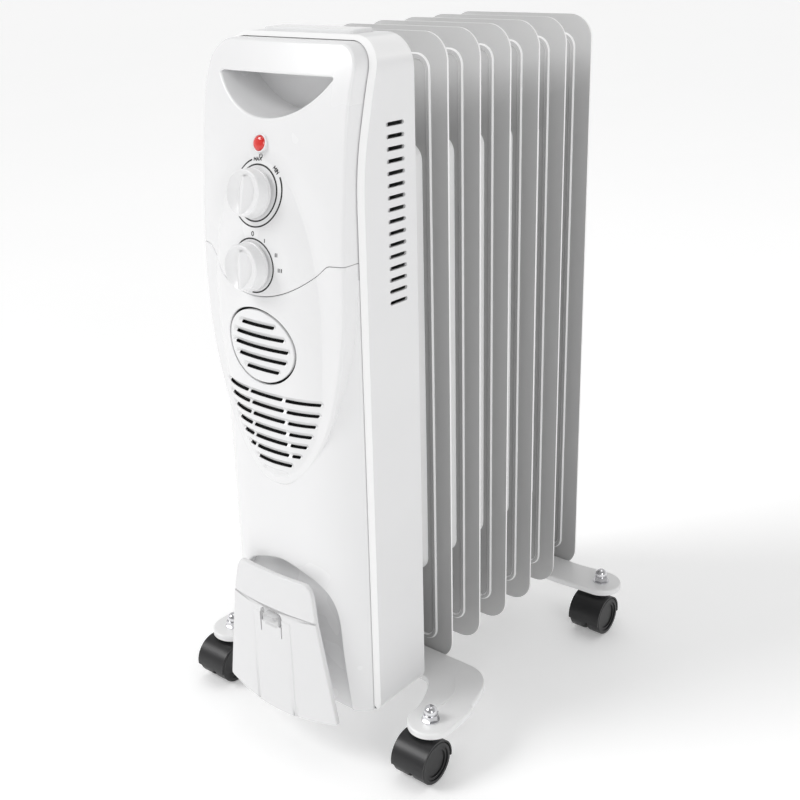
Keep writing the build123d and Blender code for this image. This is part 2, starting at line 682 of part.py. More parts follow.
def pressed_bracket(half_plan, gap_y, stem_y):
    """A sheet foot: flat top, turned down rim, a saddle under the hub pipe and holes for bolts and stems."""
    low = Plane.XY.offset(BRACKET_TOP - BRACKET_RIM)
    body = extrude(low * whole_plan(half_plan(0)), amount=BRACKET_RIM)
    body = fillet(body.faces().sort_by(Axis.Z)[-1].edges(), 1.6)
    body = body - extrude(low * whole_plan(half_plan(BRACKET_SHEET)), amount=BRACKET_RIM - BRACKET_SHEET)
    saddle = extrude(Plane.XY.offset(BRACKET_TOP - 0.5) * (Pos(0, gap_y) * Rectangle(34, 14)),
                     amount=LOWER_HUB_Z - BRACKET_TOP - 10)
    body = body + (saddle - rod(0, LOWER_HUB_Z, PIPE_R, gap_y + 20, gap_y - 20))
    for side in (-1, 1):
        for x, y, radius in ((side * BOLT_X, gap_y, BOLT_R + 0.3), (side * STEM_X, stem_y, STEM_R + 0.2)):
            body = body - extrude(low.offset(-1) * (Pos(x, y) * Circle(radius)), amount=10)
    return body


def horn_emboss():
    """Raised crescent pressed into each horn of the front bracket."""
    outer = ThreePointArc((106, -67), (121.5, -90), (119.5, -113))
    inner = ThreePointArc((119.5, -113), (118.5, -90.5), (106, -67))
    crescent = extrude(Plane.XY.offset(BRACKET_TOP - 0.5) * make_face(outer + inner), amount=0.5 + EMBOSS_RISE)
    return crescent + mirror(crescent, Plane.YZ)


def make_brackets():
    front = pressed_bracket(front_bracket_half, FRONT_GAP_Y, FRONT_STEM_Y)
    save("front_foot_bracket", front + horn_emboss())
    save("rear_foot_bracket", pressed_bracket(rear_bracket_half, REAR_GAP_Y, REAR_STEM_Y))


def make_bolts():
    """U-bolts over the hub pipes, with a wing nut on each leg under the bracket."""
    bolts = []
    nuts = []
    under = BRACKET_TOP - BRACKET_SHEET
    for y in (FRONT_GAP_Y, REAR_GAP_Y):
        plane = Plane((-BOLT_X, y, 40), z_dir=(0, 0, 1))
        legs = Polyline((-BOLT_X, y, 40), (-BOLT_X, y, LOWER_HUB_Z))
        over = ThreePointArc((-BOLT_X, y, LOWER_HUB_Z), (0, y, LOWER_HUB_Z + BOLT_X), (BOLT_X, y, LOWER_HUB_Z))
        back = Polyline((BOLT_X, y, LOWER_HUB_Z), (BOLT_X, y, 40))
        bolts.append(sweep(plane * Circle(BOLT_R), path=legs + over + back))
        for x in (-BOLT_X, BOLT_X):
            nut = extrude(Plane.XY.offset(under) * (Pos(x, y) * Circle(5)), amount=-5)
            wing = extrude(Plane.XY.offset(under - 1) * (Pos(x, y) * SlotOverall(20, 2.4)), amount=-6)
            nut = nut + wing
            nuts.append(nut - extrude(Plane.XY.offset(30) * (Pos(x, y) * Circle(BOLT_R)), amount=30))
    save("u_bolts", *bolts)
    save("wing_nuts", *nuts)


# ---------------------------------------------------------------- castors
STEM_R = 4.0
COLLAR_R = 7.5
SOCKET_R = 7.6
SOCKET_LOW = 34.6
HOOD_R = 21.6
HOOD_SKIN = 1.5
WEB = 5.0
WHEEL_DISH_R = 15.8
WHEEL_DISH_DEPTH = 1.1
WHEEL_SKIN = 4.4
AXLE_LENGTH = 26.0
NUT_FLATS = 13.0
NUT_HEX = 6.5
NUT_HEIGHT = 14.5


def make_stem(x, y):
    """Fixed castor stem: threaded end above the bracket, collar below it, pivot pin in the hood."""
    under = BRACKET_TOP - BRACKET_SHEET
    collar_low = HOOD_R + AXLE_Z + 1.5
    stem = Pos(x, y, collar_low) * Cylinder(COLLAR_R, under - collar_low, align=(Align.CENTER, Align.CENTER, Align.MIN))
    pin_low = SOCKET_LOW + 2.8
    pin = Pos(x, y, pin_low) * Cylinder(STEM_R, BRACKET_TOP + 9 - pin_low, align=(Align.CENTER, Align.CENTER, Align.MIN))
    return stem + pin


def make_acorn_nut(x, y):
    base = Plane.XY.offset(BRACKET_TOP)
    hexagon = extrude(base * (Pos(x, y) * RegularPolygon(NUT_FLATS / 2, 6, major_radius=False)), amount=NUT_HEX)
    flange = extrude(base * (Pos(x, y) * Circle(8.2)), amount=1.2)
    dome_r = 6.1
    neck = extrude(base.offset(NUT_HEX) * (Pos(x, y) * Circle(dome_r)), amount=NUT_HEIGHT - NUT_HEX - dome_r)
    dome = Pos(x, y, BRACKET_TOP + NUT_HEIGHT - dome_r) * Sphere(dome_r)
    nut = hexagon + flange + neck + dome
    return nut - extrude(base.offset(-1) * (Pos(x, y) * Circle(STEM_R)), amount=10)


def across(x, y, radius, width):
    """A cylinder with its axis along X, centred on a castor's axle line."""
    return Pos(x, y, AXLE_Z) * (Rot(0, 90, 0) * Cylinder(radius, width))


def make_hood(x, y):
    """Castor hood: a skin over the twin wheels, a web between them and the socket the stem stands in."""
    axle_y = y - CASTOR_TRAIL
    skin = across(x, axle_y, HOOD_R, CASTOR_WIDTH) - across(x, axle_y, HOOD_R - HOOD_SKIN, CASTOR_WIDTH + 2)
    skin = skin - Pos(x, axle_y, AXLE_Z - 3 - 30) * Box(60, 80, 60)
    web = across(x, axle_y, HOOD_R - 0.5, WEB) - Pos(x, axle_y, AXLE_Z - 7 - 30) * Box(60, 80, 60)
    low = SOCKET_LOW
    top = AXLE_Z + HOOD_R + 0.5
    socket = Pos(x, y, low) * Cylinder(SOCKET_R, top - low, align=(Align.CENTER, Align.CENTER, Align.MIN))
    hood = skin + web + socket
    hood = hood - Pos(x, y, low + 1.5) * Cylinder(STEM_R + 0.3, 30, align=(Align.CENTER, Align.CENTER, Align.MIN))
    for side in (-1, 1):
        room = WEB / 2 + WHEEL_WIDTH / 2 + 0.4
        hood = hood - across(x + side * room, axle_y, WHEEL_R + 0.5, WHEEL_WIDTH)
    return hood - across(x, axle_y, AXLE_R, 40)


def make_wheel(x, y, side):
    """One wheel of the pair: tread, outer face dished in two steps and a blind bore for the axle."""
    axle_y = y - CASTOR_TRAIL
    middle = x + side * (WEB / 2 + 0.5 + WHEEL_WIDTH / 2)
    wheel = across(middle, axle_y, WHEEL_R, WHEEL_WIDTH)
    wheel = chamfer(wheel.edges().filter_by(GeomType.CIRCLE), 0.8)
    outer_face = middle + side * WHEEL_WIDTH / 2
    wheel = wheel - across(outer_face, axle_y, WHEEL_DISH_R, 2 * WHEEL_DISH_DEPTH)
    wheel = wheel - across(outer_face, axle_y, WHEEL_DISH_R - 3.0, 4 * WHEEL_DISH_DEPTH)
    bore_end = outer_face - side * WHEEL_SKIN
    bore_middle = (bore_end + middle - side * WHEEL_WIDTH / 2) / 2
    bore_length = WHEEL_WIDTH - WHEEL_SKIN
    return wheel - across(bore_middle, axle_y, AXLE_R + 0.3, bore_length)


def make_castors():
    places = {
        "front_left": (-STEM_X, FRONT_STEM_Y),
        "front_right": (STEM_X, FRONT_STEM_Y),
        "rear_left": (-STEM_X, REAR_STEM_Y),
        "rear_right": (STEM_X, REAR_STEM_Y),
    }
    nuts = []
    for name, (x, y) in places.items():
        save("castor_stem_" + name, make_stem(x, y))
        save("castor_hood_" + name, make_hood(x, y))
        save("castor_axle_" + name, across(x, y - CASTOR_TRAIL, AXLE_R, AXLE_LENGTH))
        save("castor_wheel_inner_" + name, make_wheel(x, y, -1 if x > 0 else 1))
        save("castor_wheel_outer_" + name, make_wheel(x, y, 1 if x > 0 else -1))
        nuts.append(make_acorn_nut(x, y))
    save("castor_nuts", *nuts)


if __name__ == "__main__":
    make_fins()
    make_hub_pipes()
    make_element()
    save("housing_shell", make_housing())
    save("heat_shield", make_heat_shield())
    save("control_cover", make_control_cover())
    save("lower_cover", make_lower_cover())
    save("round_grille", make_round_grille())
    save("top_cap", make_top_cap())
    save("thermostat_knob", make_knob(THERMOSTAT_Z, KNOB_TILT[THERMOSTAT_Z]))
    save("thermostat_spindle", make_spindle(THERMOSTAT_Z, KNOB_TILT[THERMOSTAT_Z]))
    save("thermostat_body", make_switch_body(THERMOSTAT_Z, KNOB_TILT[THERMOSTAT_Z], 34, 30, 24))
    save("selector_knob", make_knob(SELECTOR_Z, KNOB_TILT[SELECTOR_Z]))
    save("selector_spindle", make_spindle(SELECTOR_Z, KNOB_TILT[SELECTOR_Z]))
    save("selector_switch_body", make_switch_body(SELECTOR_Z, KNOB_TILT[SELECTOR_Z], 30, 26, 22))
    lamp_lens, lamp_body = make_lamp()
    save("lamp_lens", lamp_lens)
    save("lamp_body", lamp_body)
    save("terminal_block", make_terminal_block())
    save("cord_wrap_plate", make_wrap_plate())
    save("cord_gland", make_gland())
    save("cover_screws", *make_cover_screws())
    make_brackets()
    make_bolts()
    make_castors()
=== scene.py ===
import json
import math

import bmesh
import bpy
import numpy as np
from mathutils import Matrix, Vector
from mathutils.geometry import delaunay_2d_cdt


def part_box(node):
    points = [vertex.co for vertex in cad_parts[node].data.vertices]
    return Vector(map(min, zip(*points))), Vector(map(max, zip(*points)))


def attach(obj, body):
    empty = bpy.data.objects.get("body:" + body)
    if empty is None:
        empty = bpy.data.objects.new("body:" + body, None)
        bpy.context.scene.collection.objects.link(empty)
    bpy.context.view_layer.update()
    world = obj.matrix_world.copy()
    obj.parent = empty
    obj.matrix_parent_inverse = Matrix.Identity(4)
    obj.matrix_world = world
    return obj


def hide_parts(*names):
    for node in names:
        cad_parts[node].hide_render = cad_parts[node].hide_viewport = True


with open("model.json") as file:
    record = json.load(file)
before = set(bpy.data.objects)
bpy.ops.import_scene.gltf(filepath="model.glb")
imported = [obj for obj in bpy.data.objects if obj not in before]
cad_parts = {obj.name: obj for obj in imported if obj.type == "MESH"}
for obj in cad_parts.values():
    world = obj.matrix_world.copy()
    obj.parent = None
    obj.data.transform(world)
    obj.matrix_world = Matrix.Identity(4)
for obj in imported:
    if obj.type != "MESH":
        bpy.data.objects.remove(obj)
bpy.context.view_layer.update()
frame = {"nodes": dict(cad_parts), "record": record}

NODES = frame["nodes"]
MM = 0.001
scene = bpy.context.scene
scene.view_settings.view_transform = "Standard"


# ---------------- shader nodes
def set_sockets(node, values):
    """Set a node's inputs by name."""
    for name, value in values.items():
        node.inputs[name].default_value = value


def axes(tree, output):
    """The three parts of a texture coordinate, such as the object's own position or normal."""
    place = tree.nodes.new("ShaderNodeTexCoord")
    parts = tree.nodes.new("ShaderNodeSeparateXYZ")
    tree.links.new(place.outputs[output], parts.inputs["Vector"])
    return [parts.outputs[name] for name in ("X", "Y", "Z")]


def span(tree, value, low, high, start=0.0, end=1.0, smooth=False):
    """A change from start to end while value goes from low to high."""
    ramp = tree.nodes.new("ShaderNodeMapRange")
    if smooth:
        ramp.interpolation_type = "SMOOTHSTEP"
    set_sockets(ramp, {"From Min": low, "From Max": high, "To Min": start, "To Max": end})
    tree.links.new(value, ramp.inputs["Value"])
    return ramp.outputs["Result"]


def calculate(tree, operation, *values):
    """One Math node on one or two sockets."""
    node = tree.nodes.new("ShaderNodeMath")
    node.operation = operation
    for socket, value in zip(node.inputs, values):
        tree.links.new(value, socket)
    return node.outputs[0]


def colour_mix(tree, factor, first, second):
    """Mix two colours, each a triple or a socket."""
    mix = tree.nodes.new("ShaderNodeMix")
    mix.data_type = "RGBA"
    sockets = {socket.identifier: socket for socket in mix.inputs}
    tree.links.new(factor, sockets["Factor_Float"])
    for name, colour in (("A_Color", first), ("B_Color", second)):
        if isinstance(colour, tuple):
            sockets[name].default_value = (*colour, 1)
        else:
            tree.links.new(colour, sockets[name])
    return next(socket for socket in mix.outputs if socket.identifier == "Result_Color")


# ---------------- camera, light and floor
CAMERA_PLACE = Vector((0.66693, -0.81663, 0.70395))
CAMERA_YAW = math.radians(39.51)
CAMERA_PITCH = math.radians(19.79)
CAMERA_ROLL = math.radians(-1.33)
CAMERA_LENS = 52.956
CAMERA_SHIFT_Y = -0.05
# The studio is brightest towards BRIGHT_WALL. Each row is a low and a high value, and the light at each.
BRIGHT_WALL = (-0.63, 0.77, 0.0)
LIGHT_BY_HEIGHT = (0.05, 0.8, 0.92, 0.55)
LIGHT_BY_SIDE = (-0.8, 0.6, 0.5, 1.0)
KEY_AIM = (0.62, 0.72, -0.85)
KEY_STRENGTH = 1.25
KEY_SPREAD = 25
# Each soft light: its place, size and power. All of them aim at LIGHT_AIM.
LIGHT_AIM = (0, 0, 0.3)
SOFT_LIGHTS = {
    "fill": ((2.4, -1.5, 1.3), (1.0, 1.4), 15),
    "top": ((0.1, 0.3, 3.0), (2.0, 2.0), 10),
}
FLOOR_SIZE = 40
FLOOR_DROP = 0.0004
FLOOR_TONE = 0.96
FLOOR_GLOW = 0.2


def make_camera():
    """The camera looks down a little at the heater's front right corner."""
    flat = Vector((-math.sin(CAMERA_YAW), math.cos(CAMERA_YAW), 0))
    ahead = flat * math.cos(CAMERA_PITCH) - Vector((0, 0, math.sin(CAMERA_PITCH)))
    right = Vector((math.cos(CAMERA_YAW), math.sin(CAMERA_YAW), 0))
    up = right.cross(ahead)
    side = right * math.cos(CAMERA_ROLL) + up * math.sin(CAMERA_ROLL)
    top = up * math.cos(CAMERA_ROLL) - right * math.sin(CAMERA_ROLL)
    data = bpy.data.cameras.new("camera")
    data.lens = CAMERA_LENS
    data.shift_y = CAMERA_SHIFT_Y
    data.clip_start = 0.05
    data.clip_end = 50
    camera = bpy.data.objects.new("camera", data)
    turn = Matrix((side, top, -ahead)).transposed()
    camera.matrix_world = Matrix.Translation(CAMERA_PLACE) @ turn.to_4x4()
    scene.collection.objects.link(camera)
    scene.camera = camera


def make_world():
    """A pale studio, brightest behind the heater and darker overhead."""
    world = bpy.data.worlds.new("studio")
    scene.world = world
    world.use_nodes = True
    tree = world.node_tree
    background = tree.nodes["Background"]
    by_height = span(tree, axes(tree, "Generated")[2], *LIGHT_BY_HEIGHT)
    place = tree.nodes.new("ShaderNodeTexCoord")
    aside = tree.nodes.new("ShaderNodeVectorMath")
    aside.operation = "DOT_PRODUCT"
    aside.inputs[1].default_value = BRIGHT_WALL
    tree.links.new(place.outputs["Generated"], aside.inputs[0])
    by_side = span(tree, aside.outputs["Value"], *LIGHT_BY_SIDE)
    tree.links.new(calculate(tree, "MULTIPLY", by_height, by_side), background.inputs["Strength"])
    background.inputs["Color"].default_value = (1, 1, 1, 1)


def add_light(name, data, place, aim):
    light = bpy.data.objects.new(name, data)
    light.location = place
    light.rotation_euler = Vector(aim).to_track_quat("-Z", "Y").to_euler()
    scene.collection.objects.link(light)


def make_lights():
    """A very soft sun from the front left, and two large soft lights."""
    key = bpy.data.lights.new("key", "SUN")
    key.energy = KEY_STRENGTH
    key.angle = math.radians(KEY_SPREAD)
    add_light("key", key, (0, 0, 3), KEY_AIM)
    for name, (place, size, power) in SOFT_LIGHTS.items():
        data = bpy.data.lights.new(name, "AREA")
        data.shape = "RECTANGLE"
        data.size, data.size_y = size
        data.energy = power
        add_light(name, data, place, Vector(LIGHT_AIM) - Vector(place))


def make_floor():
    """A wide plain sheet just under the wheels. It glows a little, so that it comes out white."""
    material, shader = new_material("floor", (FLOOR_TONE,) * 3, 0.6)
    dark, pale = (FLOOR_TONE - 0.005,) * 3, (FLOOR_TONE + 0.005,) * 3
    vary(material, shader, "Base Color", add_noise(material, 2.0), dark, pale)
    set_sockets(shader, {"Emission Color": (1, 1, 1, 1), "Emission Strength": FLOOR_GLOW})
    mesh = bpy.data.meshes.new("floor")
    grid = bmesh.new()
    bmesh.ops.create_grid(grid, x_segments=8, y_segments=8, size=FLOOR_SIZE)
    grid.to_mesh(mesh)
    grid.free()
    floor = bpy.data.objects.new("floor", mesh)
    floor.location.z = -FLOOR_DROP
    mesh.materials.append(material)
    scene.collection.objects.link(floor)


# ---------------- materials
# Fin colours: a painted highlight on turned edges, the flats, and painted shade deep between the fins.
FIN_EDGE_HIGHLIGHT = (0.97, 0.97, 0.97)
FIN_OPEN = (0.66, 0.66, 0.66)
FIN_DEEP_SHADE = (0.40, 0.40, 0.40)
# Painted shade between the fins: how open a fin's side edge counts beside its top, the share of its width that is
# deep, and how far down from its top the painted light fades.
FIN_SIDE = 0.5
FIN_INNER = 0.3
FIN_FADE = 0.13
# A surface counts as turned below the first of these parts of a normal, and as flat above the second. Turned
# surfaces get a painted highlight colour.
FIN_TURN = (0.8, 0.985)
HOUSING_TURN = (0.9, 0.985)
# Housing colours: its flats, and a painted highlight on its rounded edges.
HOUSING_FLAT = (0.83, 0.83, 0.835)
HOUSING_EDGE_HIGHLIGHT = (0.98, 0.98, 0.98)
PLASTIC_IOR = 1.48
PLASTIC_COAT_ROUGHNESS = 0.08
PAINT_COAT = 0.25
PAINT_COAT_ROUGHNESS = 0.15
PAINT_MOTTLE = 14.0
PEEL_SCALE = 420.0
PEEL_DEPTH = 0.00006
METAL_GRAIN = 700.0
# The part of a noise's range that most of it lies in.
NOISE_LOW, NOISE_HIGH = 0.3, 0.7
# Colour, roughness, scale and depth of the grain, and the weight of a clear coat.
PLASTICS = {
    "cover_plastic": ((0.86, 0.86, 0.865), 0.26, 1500.0, 0.00002, 0.3),
    "plate_plastic": ((0.78, 0.78, 0.785), 0.32, 1500.0, 0.00002, 0.2),
    "dial_plastic": ((0.84, 0.84, 0.845), 0.3, 1500.0, 0.00002, 0.2),
    "ink": ((0.012, 0.012, 0.012), 0.45, 900.0, 0.00001),
    # backing: a near-black colour, painted shade behind the slots.
    "backing": ((0.006, 0.006, 0.006), 0.9, 900.0, 0.00002),
    "inner_plastic": ((0.03, 0.03, 0.032), 0.5, 900.0, 0.00004),
    "lamp_body": ((0.7, 0.7, 0.65), 0.4, 900.0, 0.00003),
    "gland_rubber": ((0.02, 0.02, 0.02), 0.6, 700.0, 0.00005),
    "castor_black": ((0.011, 0.011, 0.012), 0.36, 1100.0, 0.00004),
    "wheel_black": ((0.014, 0.014, 0.015), 0.42, 900.0, 0.00006),
}
# Colour and roughness.
METALS = {
    "steel": ((0.55, 0.55, 0.56), 0.35),
    "brass": ((0.72, 0.55, 0.25), 0.3),
    "spindle_metal": ((0.6, 0.6, 0.61), 0.25),
    "stem_steel": ((0.6, 0.6, 0.61), 0.25),
    "nut_chrome": ((0.72, 0.72, 0.74), 0.08),
}


def new_material(name, colour, roughness, metallic=0.0):
    """A material with its shader node, and the node tree to add to."""
    material = bpy.data.materials.new(name)
    material.use_nodes = True
    shader = material.node_tree.nodes["Principled BSDF"]
    set_sockets(shader, {"Base Color": (*colour, 1), "Roughness": roughness, "Metallic": metallic})
    return material, shader


def add_noise(material, scale, detail=3.0):
    """A noise texture in object space."""
    nodes, links = material.node_tree.nodes, material.node_tree.links
    place = nodes.new("ShaderNodeTexCoord")
    noise = nodes.new("ShaderNodeTexNoise")
    set_sockets(noise, {"Scale": scale, "Detail": detail})
    links.new(place.outputs["Object"], noise.inputs["Vector"])
    return noise


def vary(material, shader, socket, noise, low, high):
    """Drive a socket between two numbers, or a colour between two colours, by a noise."""
    tree = material.node_tree
    if socket == "Base Color":
        ramp = tree.nodes.new("ShaderNodeValToRGB")
        for element, position, colour in zip(ramp.color_ramp.elements, (NOISE_LOW, NOISE_HIGH), (low, high)):
            element.position = position
            element.color = (*colour, 1)
        tree.links.new(noise.outputs["Fac"], ramp.inputs["Fac"])
        result = ramp.outputs["Color"]
    else:
        result = span(tree, noise.outputs["Fac"], NOISE_LOW, NOISE_HIGH, low, high)
    tree.links.new(result, shader.inputs[socket])


def add_bump(material, shader, noise, distance):
    """A relief of a noise, distance metres deep."""
    nodes, links = material.node_tree.nodes, material.node_tree.links
    bump = nodes.new("ShaderNodeBump")
    set_sockets(bump, {"Distance": distance, "Strength": 1.0})
    links.new(noise.outputs["Fac"], bump.inputs["Height"])
    links.new(bump.outputs["Normal"], shader.inputs["Normal"])


def plastic(name, colour, roughness, grain, grain_depth, coat=0.0):
    """Moulded plastic: an even colour with faint mottling and a fine moulded grain."""
    material, shader = new_material(name, colour, roughness)
    set_sockets(shader, {"IOR": PLASTIC_IOR, "Coat Weight": coat, "Coat Roughness": PLASTIC_COAT_ROUGHNESS})
    mottle = add_noise(material, 9.0)
    darker = tuple(0.975 * c for c in colour)
    vary(material, shader, "Base Color", mottle, darker, colour)
    vary(material, shader, "Roughness", mottle, 0.9 * roughness, 1.1 * roughness)
    add_bump(material, shader, add_noise(material, grain, 2.0), grain_depth)
    return material


def paint_finish(material, shader, mottle, roughness):
    """Baked paint's coat, its slight changes of gloss and its very slight orange peel."""
    set_sockets(shader, {"Coat Weight": PAINT_COAT, "Coat Roughness": PAINT_COAT_ROUGHNESS})
    vary(material, shader, "Roughness", mottle, 0.85 * roughness, 1.15 * roughness)
    add_bump(material, shader, add_noise(material, PEEL_SCALE, 1.0), PEEL_DEPTH)


def paint(name, colour, roughness):
    """Baked paint on steel."""
    material, shader = new_material(name, colour, roughness)
    mottle = add_noise(material, PAINT_MOTTLE)
    darker = tuple(0.965 * c for c in colour)
    vary(material, shader, "Base Color", mottle, darker, colour)
    paint_finish(material, shader, mottle, roughness)
    return material


def fin_paint():
    """Baked paint on the fins, with painted light and shade: a painted highlight where the sheet turns, duller
    flats, and painted shade deep between the fins.
    """
    roughness = 0.4
    material, shader = new_material("fin_paint", FIN_OPEN, roughness)
    tree = material.node_tree
    half, _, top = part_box("fin_1")[1]
    x, _, z = axes(tree, "Object")
    # Painted shade: darker away from each fin's outer sides and top, lighter towards them.
    aside = span(tree, calculate(tree, "ABSOLUTE", x), FIN_INNER * half, half, 0.0, FIN_SIDE, smooth=True)
    up = span(tree, z, top - FIN_FADE, top, smooth=True)
    flat = colour_mix(tree, calculate(tree, "MAXIMUM", aside, up), FIN_DEEP_SHADE, FIN_OPEN)
    # Painted highlight: turned surfaces of the sheet are coloured pale.
    flatness = span(tree, calculate(tree, "ABSOLUTE", axes(tree, "Normal")[1]), *FIN_TURN, smooth=True)
    tree.links.new(colour_mix(tree, flatness, FIN_EDGE_HIGHLIGHT, flat), shader.inputs["Base Color"])
    paint_finish(material, shader, add_noise(material, PAINT_MOTTLE), roughness)
    return material


def housing_plastic():
    """Satin plastic with a painted highlight: paler colour along its rounded edges, where the real one catches the
    light.
    """
    material = plastic("housing_plastic", HOUSING_FLAT, 0.34, 1500.0, 0.00003)
    tree = material.node_tree
    colour = tree.nodes["Principled BSDF"].inputs["Base Color"]
    sizes = [calculate(tree, "ABSOLUTE", part) for part in axes(tree, "Normal")]
    most = calculate(tree, "MAXIMUM", calculate(tree, "MAXIMUM", *sizes[:2]), sizes[2])
    flat = colour.links[0].from_socket
    # Painted highlight on the rounded edges.
    tree.links.new(colour_mix(tree, span(tree, most, *HOUSING_TURN, smooth=True), HOUSING_EDGE_HIGHLIGHT, flat), colour)
    return material


def metal(name, colour, roughness):
    """Bare or plated metal with a fine brushed unevenness."""
    material, shader = new_material(name, colour, roughness, 1.0)
    mottle = add_noise(material, METAL_GRAIN)
    vary(material, shader, "Roughness", mottle, 0.7 * roughness, 1.4 * roughness)
    add_bump(material, shader, mottle, 0.00003)
    return material


def lamp_red():
    """Clear red plastic, glossy and slightly see-through."""
    material, shader = new_material("lamp_red", (0.75, 0.02, 0.015), 0.12)
    set_sockets(shader, {"Coat Weight": 0.8, "Coat Roughness": 0.04})
    set_sockets(shader, {"Subsurface Weight": 0.15, "Subsurface Radius": (0.004, 0.001, 0.001)})
    vary(material, shader, "Base Color", add_noise(material, 120.0), (0.6, 0.012, 0.01), (0.8, 0.03, 0.02))
    return material


def make_materials():
    """The material of every slot and piece, by name."""
    made = {
        "fin_paint": fin_paint(),
        "bracket_paint": paint("bracket_paint", (0.90, 0.90, 0.90), 0.35),
        "housing_plastic": housing_plastic(),
        "lamp_red": lamp_red(),
    }
    made.update({name: plastic(name, *look) for name, look in PLASTICS.items()})
    made.update({name: metal(name, *look) for name, look in METALS.items()})
    return made


def dress_nodes(made):
    """Give each CAD node the material of its slot."""
    slots = {part["node"]: part["material_slot"] for part in frame["record"]["subparts"]}
    for name, node in NODES.items():
        node.data.materials.clear()
        node.data.materials.append(made[slots[name]])


# ---------------- outlines and meshes, in millimetres
def arc(centre_x, centre_z, radius_x, radius_z, start, end, steps):
    """Points on an ellipse arc, its angles in degrees from +X towards +Z."""
    angles = np.radians(np.linspace(start, end, steps + 1))
    return np.column_stack((centre_x + radius_x * np.cos(angles), centre_z + radius_z * np.sin(angles)))


def ellipse(centre_z, radius_x, radius_z, steps):
    """A closed ellipse about a place on the middle line."""
    return arc(0, centre_z, radius_x, radius_z, 0, 360, steps)[:-1]


def straight(start, end, step=5.0):
    """Points from start up to, but not including, end."""
    start, end = np.array(start, float), np.array(end, float)
    count = max(1, int(math.ceil(np.linalg.norm(end - start) / step)))
    return start + (end - start) * (np.arange(count) / count)[:, None]


def clean(points, least=0.05):
    """The same line without points that nearly repeat."""
    kept = [points[0]]
    for point in points[1:]:
        if np.hypot(*(point - kept[-1])) > least:
            kept.append(point)
    if np.hypot(*(kept[0] - kept[-1])) < least:
        kept.pop()
    return np.array(kept)


def curve_through(points, closed, per_span=8):
    """A Catmull-Rom curve through points."""
    points = np.array(points, float)
    count = len(points)
    spans = count if closed else count - 1
    curve = []
    for index in range(spans):
        if closed:
            near = [points[(index + shift) % count] for shift in (-1, 0, 1, 2)]
        else:
            near = [points[min(max(index + shift, 0), count - 1)] for shift in (-1, 0, 1, 2)]
        for t in np.arange(per_span) / per_span:
            a = 2 * near[1]
            b = near[2] - near[0]
            c = 2 * near[0] - 5 * near[1] + 4 * near[2] - near[3]
            d = 3 * near[1] - near[0] - 3 * near[2] + near[3]
            curve.append(0.5 * (a + b * t + c * t ** 2 + d * t ** 3))
    if not closed:
        curve.append(points[-1])
    return np.array(curve)


def mirrored(right_half):
    """A closed outline from its right half, which starts and ends on the middle line."""
    left = right_half[::-1].copy()
    left[:, 0] *= -1
    return clean(np.vstack((right_half, left)))


def distance(points, line, closed=True):
    """Distance from each point to the nearest place on a line of points."""
    starts = line if closed else line[:-1]
    ends = np.roll(line, -1, axis=0) if closed else line[1:]
    along = ends - starts
    length = (along ** 2).sum(1) + 1e-12
    nearest = np.full(len(points), 1e9)
    for first in range(0, len(points), 20000):
        block = points[first:first + 20000, None, :] - starts[None]
        t = np.clip((block * along[None]).sum(2) / length, 0, 1)
        gap = np.hypot(block[..., 0] - t * along[:, 0], block[..., 1] - t * along[:, 1])
        nearest[first:first + 20000] = gap.min(1)
    return nearest


def inside(points, loop):
    """True for each point that lies within a closed loop."""
    within = np.zeros(len(points), bool)
    for (x0, z0), (x1, z1) in zip(loop, np.roll(loop, -1, axis=0)):
        spans = (z0 > points[:, 1]) != (z1 > points[:, 1])
        if z0 != z1:
            within ^= spans & (points[:, 0] < (x1 - x0) * (points[:, 1] - z0) / (z1 - z0) + x0)
    return within


def steps_along(loop):
    """The unit direction from each point of a loop to the next."""
    after = np.roll(loop, -1, axis=0) - loop
    return after / np.hypot(after[:, 0], after[:, 1])[:, None]


def turn_of(loop):
    """1 for a loop that runs from +X towards +Z, and -1 for one that runs the other way."""
    x, z = loop[:, 0], loop[:, 1]
    return np.sign((x * np.roll(z, -1) - np.roll(x, -1) * z).sum())


def inset(loop, gap):
    """A loop moved gap to its inner side. The loop may run either way round."""
    after = steps_along(loop)
    along = after + np.roll(after, 1, axis=0)
    along /= np.hypot(along[:, 0], along[:, 1])[:, None] + 1e-9
    inward = np.column_stack((-along[:, 1], along[:, 0])) * turn_of(loop)
    return loop + inward * gap


def round_over(gap, radius):
    """How far a rounded edge falls back at a distance gap from it."""
    near = np.clip(radius - gap, 0, radius)
    return radius - np.sqrt(np.maximum(radius ** 2 - near ** 2, 0))


def cubic(knots, values):
    """A natural cubic spline as a function of an array."""
    knots, values = np.array(knots, float), np.array(values, float)
    span = np.diff(knots)
    count = len(knots)
    matrix = np.eye(count)
    right = np.zeros(count)
    for i in range(1, count - 1):
        matrix[i, i - 1:i + 2] = span[i - 1], 2 * (span[i - 1] + span[i]), span[i]
        right[i] = 3 * ((values[i + 1] - values[i]) / span[i] - (values[i] - values[i - 1]) / span[i - 1])
    bend = np.linalg.solve(matrix, right)

    def at(z):
        i = np.clip(np.searchsorted(knots, z) - 1, 0, count - 2)
        t = z - knots[i]
        slope = (values[i + 1] - values[i]) / span[i] - span[i] * (2 * bend[i] + bend[i + 1]) / 3
        return values[i] + slope * t + bend[i] * t ** 2 + (bend[i + 1] - bend[i]) / (3 * span[i]) * t ** 3

    return at


